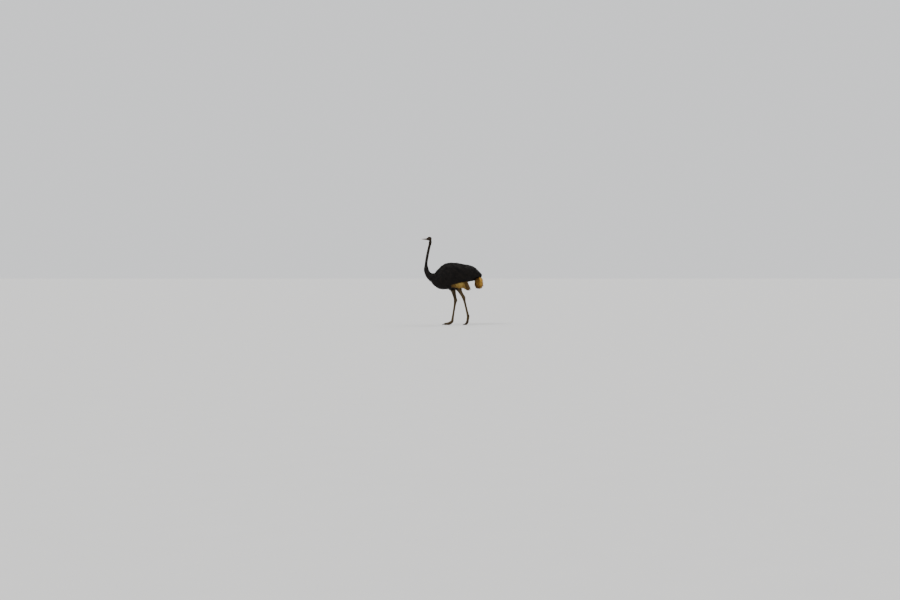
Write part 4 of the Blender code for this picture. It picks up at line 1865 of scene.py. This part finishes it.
@dataclass
class BodyPlumage:
    """The black plumage of trunk, wings and the foot of the neck."""

    skin: Skin
    axis: BodyAxis
    wing: WingPlan
    cell: float = 0.0186
    ruff_cell: float = 0.0074
    back_turn: float = 0.80
    belly_turn: float = 2.1
    breast_from: float = 9.6
    vent_to: float = 4.5
    most_stretch: float = 1.9
    most_bend: float = 0.30
    feather: PlumeKind = PlumeKind(0.130, 0.050, 24, 0.0018, 0.42, curl=0.06, droop=0.25, parting=0.24)
    covert: PlumeKind = PlumeKind(
        0.180, 0.062, 34, 0.0018, 0.34, shaft_steps=6, curl=0.06, droop=0.25, parting=0.24
    )
    ruff: PlumeKind = PlumeKind(0.050, 0.022, 10, 0.0013, 0.42, shaft_steps=3)
    covert_rows: int = 8
    coverts_in_row: int = 26
    covert_steps: int = 7

    def _sway(self, place: Array, angle: Array, draw: np.random.Generator) -> Array:
        """Each feather's turn away from the flow: like its neighbours', a little apart."""
        soft = 0.14 * np.sin(place * 2.3 + 3 * angle) + 0.12 * np.sin(5.1 * place - 7 * angle)
        return soft + draw.normal(0, 0.10, len(place))

    def _regions(self, place: Array, angle: Array) -> Array:
        """The region of each feather.

        Args:
            place: Places on the ladder, in rungs.
            angle: Turns away from the back, in radians.

        Returns:
            The regions' words.
        """
        turn = np.abs(angle)
        below = turn > self.belly_turn
        region = np.where(angle > 0, Region.LEFT.value, Region.RIGHT.value)
        region = np.where(below, Region.BELLY.value, region)
        region = np.where(turn < self.back_turn, Region.BACK.value, region)
        region = np.where(below & (place < self.vent_to), Region.VENT.value, region)
        return np.where(place > self.breast_from, Region.BREAST.value, region)

    def _trunk(self, finish: Material) -> None:
        """The trunk's feathers, a piece for each region.

        Args:
            finish: The feathers' material.
        """
        draw = np.random.default_rng(11)
        roots, _ = self.skin.roots(self.cell, self._on_trunk, 5)
        place, angle = self.axis.find(roots)
        half = self.axis.section(place)[2]
        length = 0.130 + 0.030 * ease(9 - place, 0, 6) - 0.068 * ease(place, 9.5, 13.0)
        length = length * draw.uniform(0.8, 1.15, len(roots)) * (0.45 + 0.55 * ease(half, 0.03, 0.12))
        height = np.clip(self.skin.gap(roots), 0.006, 0.060) * draw.uniform(0.75, 1.15, len(roots))
        height = height * (1 - 0.3 * ease(place, 11.5, 13.0))
        gravity = 0.20 + 0.45 * np.sin(np.abs(angle)) ** 2 * ease(11 - place, 0, 3)
        gravity = gravity * (1 - ease(place, 10, 12))
        spines, ups = laid(
            self.skin, roots, self.axis.flow, length, height, self._sway(place, angle, draw),
            draw.normal(0, 0.22, len(roots)), 5, gravity
        )
        ups = unit(ups + draw.normal(0, 0.20, (len(roots), 1, 3)))
        tones = toned(draw, 0.25, 0.22, len(roots))
        lay = Lay(spines, ups, length * 0.38, length, tones, np.stack((angle, place), 1))
        links = np.diff(spines, axis=1)
        stretch = np.linalg.norm(links, axis=2).max(1) / length * links.shape[1]
        bends = (unit(links[:, 1:]) * unit(links[:, :-1])).sum(-1).min(1)
        sound = (stretch < self.most_stretch) & (bends > self.most_bend)
        region = self._regions(place, angle)
        kinds = self.feather.several(100)
        for which in Region:
            chosen = lay.part(sound & (region == which.value))
            coat(f"plumage_{which.value}", chosen, kinds, finish, 3)

    def _on_trunk(self, points: Array) -> Array:
        """Whether points may bear body feathers."""
        place, _ = self.axis.find(points)
        return (points[:, 2] > 0.79) & (place < 14.3) & (self.skin.leg_share(points) < 0.4)

    def _coverts(self, side: Side, finish: Material) -> None:
        """The long coverts of one folded wing, in overlapping rows down to the lobed hem.

        Args:
            side: Which one.
            finish: The feathers' material.
        """
        draw = np.random.default_rng(15 + side.value)
        row, spot = np.meshgrid(np.arange(self.covert_rows), np.arange(self.coverts_in_row), indexing="ij")
        row, spot = row.ravel(), spot.ravel()
        count = len(row)
        share = (spot + 0.5 * (row % 2) + draw.uniform(-0.3, 0.3, count)) / self.coverts_in_row
        share = np.clip(share, 0.01, 0.97)
        across = 0.02 + 0.88 * (row + draw.uniform(-0.25, 0.25, count)) / (self.covert_rows - 1)
        length = (0.150 + 0.045 * across) * draw.uniform(0.85, 1.12, count)
        length = length * (0.62 + 0.38 * ease(share, 0, 0.35))
        lift = draw.uniform(-0.004, 0.005, count)
        fall = draw.normal(0.20, 0.05, count) + 0.14 * across
        points = []
        for k in range(self.covert_steps + 1):
            part = k / self.covert_steps
            along = share + part * length / 1.02
            down = across + part * fall * length / 0.30 * (1 + part)
            points.append(self._wing_point(side, along, down, lift + 0.006 * part))
        spines = np.stack(points, 1)
        outwards = self.axis.section(self._place(share))[0]
        ups = unit(spines - outwards[:, None])
        tones = toned(draw, 0.30, 0.25, count)
        lay = Lay(spines, ups, length * 0.33, length, tones, np.stack((share, across), 1))
        coat(f"coverts_{side.word}", lay, self.covert.several(150), finish, 9)

    def _place(self, share: Array) -> Array:
        """The rung under a share of the wing's length."""
        return np.maximum(self.wing.shoulder + (self.wing.tip - self.wing.shoulder) * share, 0.4)

    def _wing_point(self, side: Side, share: Array, across: Array, lift: Array) -> Array:
        """Points on the wing's outer face, which go on over the flank past the hem.

        Args:
            side: Which one.
            share: From shoulder 0 to tip 1.
            across: From the upper edge 0 to the hem 1.
            lift: The height over the wing.

        Returns:
            The points.
        """
        upper, hem = self.wing.edges(share)
        place = self._place(share)
        angle = np.minimum(upper + (hem - upper) * across, np.radians(158))
        point = self.axis.point(place, angle, self.wing.height(share, across) + lift)
        return point * np.array((side.value, 1, 1))

    def _ruff(self, finish: Material) -> None:
        """The shorter feathers that carry the plumage up the foot of the neck.

        Args:
            finish: The feathers' material.
        """
        draw = np.random.default_rng(12)
        roots, _ = self.skin.roots(self.ruff_cell, self._on_neck_foot, 6)
        place, angle = self.axis.find(roots)
        share = ease(place, 12.6, 16.8)
        length = (0.066 - 0.036 * share) * draw.uniform(0.8, 1.2, len(roots))
        height = np.clip(self.skin.gap(roots), 0.003, 0.030) * draw.uniform(0.8, 1.2, len(roots))
        height = height * (0.65 + 0.35 * ease(place, 12.0, 14.0))
        spines, ups = laid(
            self.skin, roots, self.axis.flow, length, height, draw.normal(0, 0.16, len(roots)),
            draw.normal(0, 0.2, len(roots)), 4, np.full(len(roots), 0.05)
        )
        tones = toned(draw, 0.3, 0.2, len(roots))
        lay = Lay(spines, ups, length * 0.40, length, tones, np.stack((angle, place), 1))
        coat("plumage_neck_foot", lay, self.ruff.several(200), finish, 4)

    def _on_neck_foot(self, points: Array) -> Array:
        """Whether points lie on the foot of the neck."""
        place, _ = self.axis.find(points)
        return (place > 12.0) & (place < 16.8) & (points[:, 1] < -0.4)

    def build(self, finish: Material) -> None:
        """Makes all pieces of the black plumage.

        Args:
            finish: The feathers' material.
        """
        self._trunk(finish)
        self._ruff(finish)
        for side in Side:
            self._coverts(side, finish)


@dataclass
class Down:
    """The short hair-like down of neck and head."""

    skin: Skin
    axis: BodyAxis
    head: HeadPlan
    neck_cell: float = 0.0034
    head_cell: float = 0.0024
    head_from: float = 1.885
    tuft: PlumeKind = PlumeKind(
        0.020, 0.0055, 1, 0.0008, 0.55, joints=2, shaft_width=0.0009, shaft_steps=3, droop=0.0
    )

    def _on_neck(self, points: Array) -> Array:
        """Whether points lie on the neck between ruff and head.

        Args:
            points: Points of the model.

        Returns:
            The answers.
        """
        place, _ = self.axis.find(points)
        z = points[:, 2]
        return (place > 15.9) & (points[:, 1] < -0.4) & (z > 1.3) & (z < self.head_from)

    def _flow(self, points: Array) -> Array:
        """The lie of the down: back over the head, then down the neck.

        Args:
            points: Points of the model.

        Returns:
            One direction for each point.
        """
        forward, _, _ = self.head.local(points)
        neck = self.axis.flow(points)
        back = unit(np.array((0.0, 1.0, -0.25)) + np.zeros_like(points))
        share = (ease(forward, -0.005, 0.035) * ease(points[:, 2], self.head_from, 1.905))[:, None]
        return unit(neck * (1 - share) + back * share)

    def _around_eye(self, points: Array) -> Array:
        """How near points are to an eye: below 1 inside the opening.

        Args:
            points: Points of the model.

        Returns:
            One reach for each point.
        """
        forward, above, _ = self.head.local(points)
        across = (forward - self.head.eye_forward) / self.head.opening[0]
        return np.hypot(across, (above - self.head.eye_above) / self.head.opening[1])

    def build(self, finish: Material) -> None:
        """Makes the neck's and the head's down.

        Args:
            finish: The down's material.
        """
        draw = np.random.default_rng(21)
        self._neck(draw, finish)
        self._head(draw, finish)

    def _neck(self, draw: np.random.Generator, finish: Material) -> None:
        """The down of the neck, longest at its foot.

        Args:
            draw: Gives the random numbers.
            finish: The down's material.
        """
        roots, _ = self.skin.roots(self.neck_cell, self._on_neck, 7)
        place, angle = self.axis.find(roots)
        share = ease(place, 16, 20)
        length = (0.024 - 0.009 * share) * draw.uniform(0.7, 1.25, len(roots))
        height = np.clip(self.skin.gap(roots), 0.002, 0.008) * draw.uniform(0.6, 1.5, len(roots))
        spines, ups = laid(
            self.skin, roots, self._flow, length, height, draw.normal(0, 0.3, len(roots)),
            draw.normal(0, 0.3, len(roots)), 3, np.full(len(roots), 0.1)
        )
        tones = toned(draw, 1 - ease(place, 16, 20), 0.2, len(roots))
        lay = Lay(spines, ups, np.full(len(roots), 0.0050), length, tones, np.stack((angle, place), 1))
        coat("down_neck", lay, self.tuft.several(300, 5), finish, 5)

    def _head(self, draw: np.random.Generator, finish: Material) -> None:
        """The bristly down of the head, shortest at the bill.

        Args:
            draw: Gives the random numbers.
            finish: The down's material.
        """
        roots, _ = self.skin.roots(self.head_cell, self._on_head, 8)
        forward, above, _ = self.head.local(roots)
        length = (0.0100 - 0.0050 * ease(forward, 0.03, 0.10)) * draw.uniform(0.6, 1.3, len(roots))
        height = (0.0022 + 0.0012 * ease(above, 0.04, 0.055)) * draw.uniform(0.3, 1.2, len(roots))
        spines, ups = laid(
            self.skin, roots, self._flow, length, height, draw.normal(0, 0.35, len(roots)),
            draw.normal(0, 0.3, len(roots)), 3, np.full(len(roots), 0.05)
        )
        tones = toned(draw, 0.35, 0.25, len(roots))
        places = np.stack((np.arctan2(roots[:, 0], above - 0.01), forward), 1)
        lay = Lay(spines, ups, np.full(len(roots), 0.0024), length, tones, places)
        coat("down_head", lay, self.tuft.several(300, 5), finish, 6)

    def _on_head(self, points: Array) -> Array:
        """Whether points of the head bear down, which lids, ears and lips don't.

        Args:
            points: Points of the model.

        Returns:
            The answers.
        """
        forward, above, _ = self.head.local(points)
        ear = np.hypot((forward - self.head.ear_forward) / 0.008, (above - self.head.ear_above) / 0.009)
        lips = (np.abs(above + 0.002) < 0.003) & (forward > 0.06)
        inside = (points[:, 2] > 1.878) & (forward < self.head.length + 0.001)
        return inside & (self._around_eye(points) > 1.45) & (ear > 1) & ~lips


@dataclass
class WingPlumes:
    """The pale plumes that hang out from under a wing."""

    skin: Skin
    axis: BodyAxis
    plumes: int = 54
    first_y: float = -0.010
    last_y: float = 0.330
    out: tuple[float, float] = (0.226, 0.192)
    root_z: float = 1.040
    bow_z: float = 0.935
    tip_z: float = 0.850
    last_drop: float = 0.064
    points: int = 9
    kind: PlumeKind = PlumeKind(
        0.200, 0.080, 88, 0.0011, 0.30, joints=3, shaft_width=0.0014, shaft_steps=8, curl=0.09, droop=0.35
    )

    def build(self, side: Side, finish: Material) -> None:
        """Makes the plumes of one wing.

        Args:
            side: Which one.
            finish: The plumes' material.
        """
        draw = np.random.default_rng(31 + side.value)
        share = np.sort(draw.random(self.plumes) * 1.04 - 0.02)
        layer = draw.random(self.plumes)
        y = self.first_y + (self.last_y - self.first_y) * share
        out = self.out[0] + (self.out[1] - self.out[0]) * share - 0.018 * layer
        drop = draw.uniform(-0.012, 0.034, self.plumes)
        root = np.stack((side.value * (out - 0.050), y - 0.055, np.full_like(y, self.root_z)), 1)
        bow = np.stack((side.value * (out + 0.004), y - 0.004, np.full_like(y, self.bow_z)), 1)
        tip_z = self.tip_z - self.last_drop * np.clip(share, 0, 1) ** 3 + drop
        tip = np.stack((side.value * (out - 0.014), y + 0.030 + draw.normal(0, 0.014, len(y)), tip_z), 1)
        part = np.linspace(0, 1, self.points)[None, :, None]
        spines = (
            root[:, None] * (1 - part) ** 2 + bow[:, None] * 2 * part * (1 - part) + tip[:, None] * part**2
        )
        curl = ease(part, 0.7, 1.0) * draw.uniform(-0.2, 1.0, (len(y), 1, 1)) * 0.022
        spines = spines + curl * np.array((side.value * 0.35, 0.9, 0.25))
        ups = np.tile(unit(np.array((side.value * 1.0, 0.12, 0.15))), (len(y), self.points, 1))
        ups = unit(ups + draw.normal(0, 0.22, (len(y), 1, 3)))
        length = np.linalg.norm(np.diff(spines, axis=1), axis=2).sum(1)
        # The plumes go dull towards both ends of the row: at the front this is painted shade under the wing's
        # hem, at the rear a darker brown.
        mixed = share + draw.normal(0, 0.06, len(y))
        dull = np.interp(mixed, (0.0, 0.10, 0.34, 0.62, 0.88, 1.0), (1.0, 0.85, 0.15, 0.15, 0.85, 1.0))
        tones = toned(draw, dull, 0.16, len(y))
        lay = Lay(spines, ups, length * 0.34, length, tones, np.stack((share, layer), 1))
        kinds = self.kind.several(400)
        coat(f"plumes_wing_{side.word}", lay, kinds, finish, 7, (f"wing_plumes_{side.word}",))


@dataclass
class Tail:
    """The drooping bunch of the tail, from its root under the rump to its tips.

    A row is height, middle, half the width and half the depth.
    """

    plumes: int = 168
    golden_turn: float = 2.39996
    points: int = 9
    rows: tuple[tuple[float, ...], ...] = (
        (1.120, 0.560, 0.050, 0.040),
        (1.088, 0.576, 0.094, 0.078),
        (1.040, 0.590, 0.122, 0.096),
        (0.965, 0.594, 0.137, 0.0955),
        (0.868, 0.593, 0.136, 0.086),
        (0.802, 0.597, 0.118, 0.072),
    )
    kind: PlumeKind = PlumeKind(
        0.300, 0.085, 78, 0.0012, 0.26, joints=3, shaft_width=0.0016, shaft_steps=8, curl=0.07, droop=0.30
    )

    def build(self, finish: Material) -> None:
        """Makes the tail.

        Args:
            finish: The plumes' material.
        """
        draw = np.random.default_rng(41)
        count = self.plumes
        turn = np.mod(np.arange(count) * self.golden_turn + draw.normal(0, 0.12, count), 2 * np.pi)
        ring = np.sqrt(draw.uniform(0.04, 0.92, count))
        end = (1.0 - 0.26 * ring**3 * draw.uniform(0.2, 1.0, count)) * draw.uniform(0.84, 1.0, count)
        part = np.linspace(0, 1, self.points)
        rows = np.array(self.rows)
        top = rows[0, 0] + 0.012
        heights = top - (top - rows[-1, 0]) * (end[:, None] * part**0.9)
        middle, wide, deep = np.moveaxis(between(rows[:, 1:], -rows[:, 0], -heights), -1, 0)
        spread = ring[:, None] * (0.25 + 0.79 * ease(part, 0, 0.40))[None]
        x = wide * np.sin(turn)[:, None] * spread
        y = middle + deep * np.cos(turn)[:, None] * spread
        spines = np.stack((x, y, heights), 2)
        outwards = np.stack((np.sin(turn), np.cos(turn), np.zeros_like(turn)), 1)
        curl = ease(part, 0.62, 1.0)[None, :, None] * draw.uniform(-0.5, 1.0, (count, 1, 1))
        spines = spines + curl * outwards[:, None] * 0.024 + np.maximum(curl, 0) ** 2 * UP * 0.022
        wave = np.sin(part * 5 + draw.uniform(0, 6, (count, 1)))[..., None] * 0.005 * part[None, :, None]
        spines = spines + wave * np.cross(outwards, UP)[:, None]
        facing = outwards[:, None] + draw.normal(0, 0.35, (count, 1, 3))
        ups = unit(facing + np.zeros((1, self.points, 1)))
        length = np.linalg.norm(np.diff(spines, axis=1), axis=2).sum(1)
        # Plumes on the front side of the bunch take the dull colour as painted shade, with a random spread of
        # tone.
        back = ease(np.cos(turn) * ring, -0.22, 0.38)
        tones = toned(draw, 1 - back, 0.26, count)
        width = 0.070 * draw.uniform(0.75, 1.1, count)
        lay = Lay(spines, ups, width, length, tones, np.stack((turn, ring), 1))
        coat("plumes_tail", lay, self.kind.several(500), finish, 8, ("tail",))


# ---- stage ----


@dataclass
class Stage:
    """A plain pale floor, soft studio light and the camera."""

    floor_size: float = 400.0
    floor_colour: Triple = (0.700, 0.693, 0.677)
    lens: float = 70.0
    sensor: float = 36.0
    distance: float = 39.375
    camera_height: float = 1.25
    aim: Triple = (0.0, -0.056, 0.5625)
    lamps: tuple[tuple[Any, ...], ...] = (
        ("key_lamp", (0.75, -0.55, 1.0), 28.0, 1.8), ("rim_lamp", (-0.7, 0.75, 0.9), 34.0, 0.9),
    )
    sky: tuple[float, float, float, float] = (0.92, 0.93, 0.945, 1.0)
    sky_strength: float = 1.05

    def _floor(self) -> None:
        """The floor, with a faint mottle."""
        shape = bmesh.new()
        bmesh.ops.create_grid(shape, x_segments=1, y_segments=1, size=self.floor_size / 2)
        mesh = bpy.data.meshes.new("floor")
        shape.to_mesh(mesh)
        shape.free()
        paint = Paint("floor", Roughness=0.85, Specular_IOR_Level=0.2)
        darker = tuple(c * 0.96 for c in self.floor_colour)
        mottled = paint.mix(paint.noise(3.0, 4.0), self.floor_colour, darker)
        mesh.materials.append(paint.feed(Base_Color=mottled))
        linked("floor", mesh)

    def _lamp(self, name: str, way: Triple, spread: float, strength: float) -> None:
        """A large, far, soft lamp that lights bird and floor alike.

        Args:
            name: The lamp's name.
            way: Where it stands, as a direction from the bird.
            spread: How large it looks, in degrees.
            strength: Its strength.
        """
        light = bpy.data.lights.new(name, "SUN")
        light.angle = math.radians(spread)
        light.energy = strength
        lamp = linked(name, light)
        lamp.rotation_euler = Vector(way).to_track_quat("Z", "Y").to_euler()

    def build(self) -> None:
        """Makes the floor, lights, world and camera."""
        self._floor()
        for lamp in self.lamps:
            self._lamp(*lamp)
        world = bpy.data.worlds.new("studio")
        world.use_nodes = True
        background = world.node_tree.nodes["Background"]
        background.inputs["Color"].default_value = self.sky
        background.inputs["Strength"].default_value = self.sky_strength
        bpy.context.scene.world = world
        data = bpy.data.cameras.new("camera")
        data.lens = self.lens
        data.sensor_width = self.sensor
        data.clip_start, data.clip_end = 0.1, 500.0
        camera = linked("camera", data)
        camera.location = (self.distance, self.aim[1], self.camera_height)
        camera.rotation_euler = (Vector(self.aim) - camera.location).to_track_quat("-Z", "Y").to_euler()
        bpy.context.scene.camera = camera


def main() -> None:
    """Builds the bird piece by piece and the stage round it."""
    logging.basicConfig(level=logging.INFO, format="%(name)s: %(message)s")
    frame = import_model()
    axis, head, wing = BodyAxis(), HeadPlan(), WingPlan()
    skin_paint = SkinFinish().make()
    horn = HornFinish(
        "bill_horn", (0.068, 0.049, 0.034), (0.125, 0.097, 0.070), (0.034, 0.025, 0.018),
        "Y", -0.58, -0.69,
    )
    claw = HornFinish(
        "claw_horn", (0.022, 0.017, 0.013), (0.050, 0.038, 0.027), (0.011, 0.009, 0.007), "Y", 0.3, -0.3
    )
    scute = HornFinish(
        "scute_horn", (0.074, 0.047, 0.016), (0.052, 0.031, 0.010), (0.026, 0.015, 0.006),
        "Z", 0.6, 0.0, 0.60, (1.0, 1.0, 0.3), 0.16,
    )
    black = FeatherFinish(
        "black_feathers", (0.0035, 0.003, 0.003), (0.0075, 0.006, 0.0055), (0.013, 0.0095, 0.0075)
    )
    brown = FeatherFinish(
        "brown_down", (0.015, 0.011, 0.007), (0.052, 0.036, 0.022), (0.009, 0.007, 0.0055), 0.6
    )
    # The third colour of the pale and tail plumes is a dull brown that also serves as painted shade.
    pale = FeatherFinish(
        "pale_plumes", (0.42, 0.285, 0.075), (0.33, 0.190, 0.040), (0.076, 0.039, 0.009), 0.6, 0.02
    )
    gold = FeatherFinish(
        "tail_plumes", (0.62, 0.345, 0.060), (0.17, 0.073, 0.010), (0.072, 0.028, 0.004), 0.6, 0.02, 0.62
    )
    skin = Skin(axis, head)
    skin.build(frame, skin_paint)
    Bill(head).build(frame, horn.make())
    eyes = Eyes(head, skin)
    eyes.build(EyeFinish(head).make(), skin_paint)
    claw_paint, scute_paint = claw.make(), scute.make()
    for leg in LEGS:
        Scutes(skin).build(leg, scute_paint)
        Claws().build(leg, frame, claw_paint)
    black_paint, brown_paint = black.make(), brown.make()
    BodyPlumage(skin, axis, wing).build(black_paint)
    for side in Side:
        eyes.lashes_on(side, black_paint)
    Down(skin, axis, head).build(brown_paint)
    pale_paint = pale.make()
    for side in Side:
        WingPlumes(skin, axis).build(side, pale_paint)
    Tail().build(gold.make())
    Stage().build()


if __name__ == "__main__":
    main()
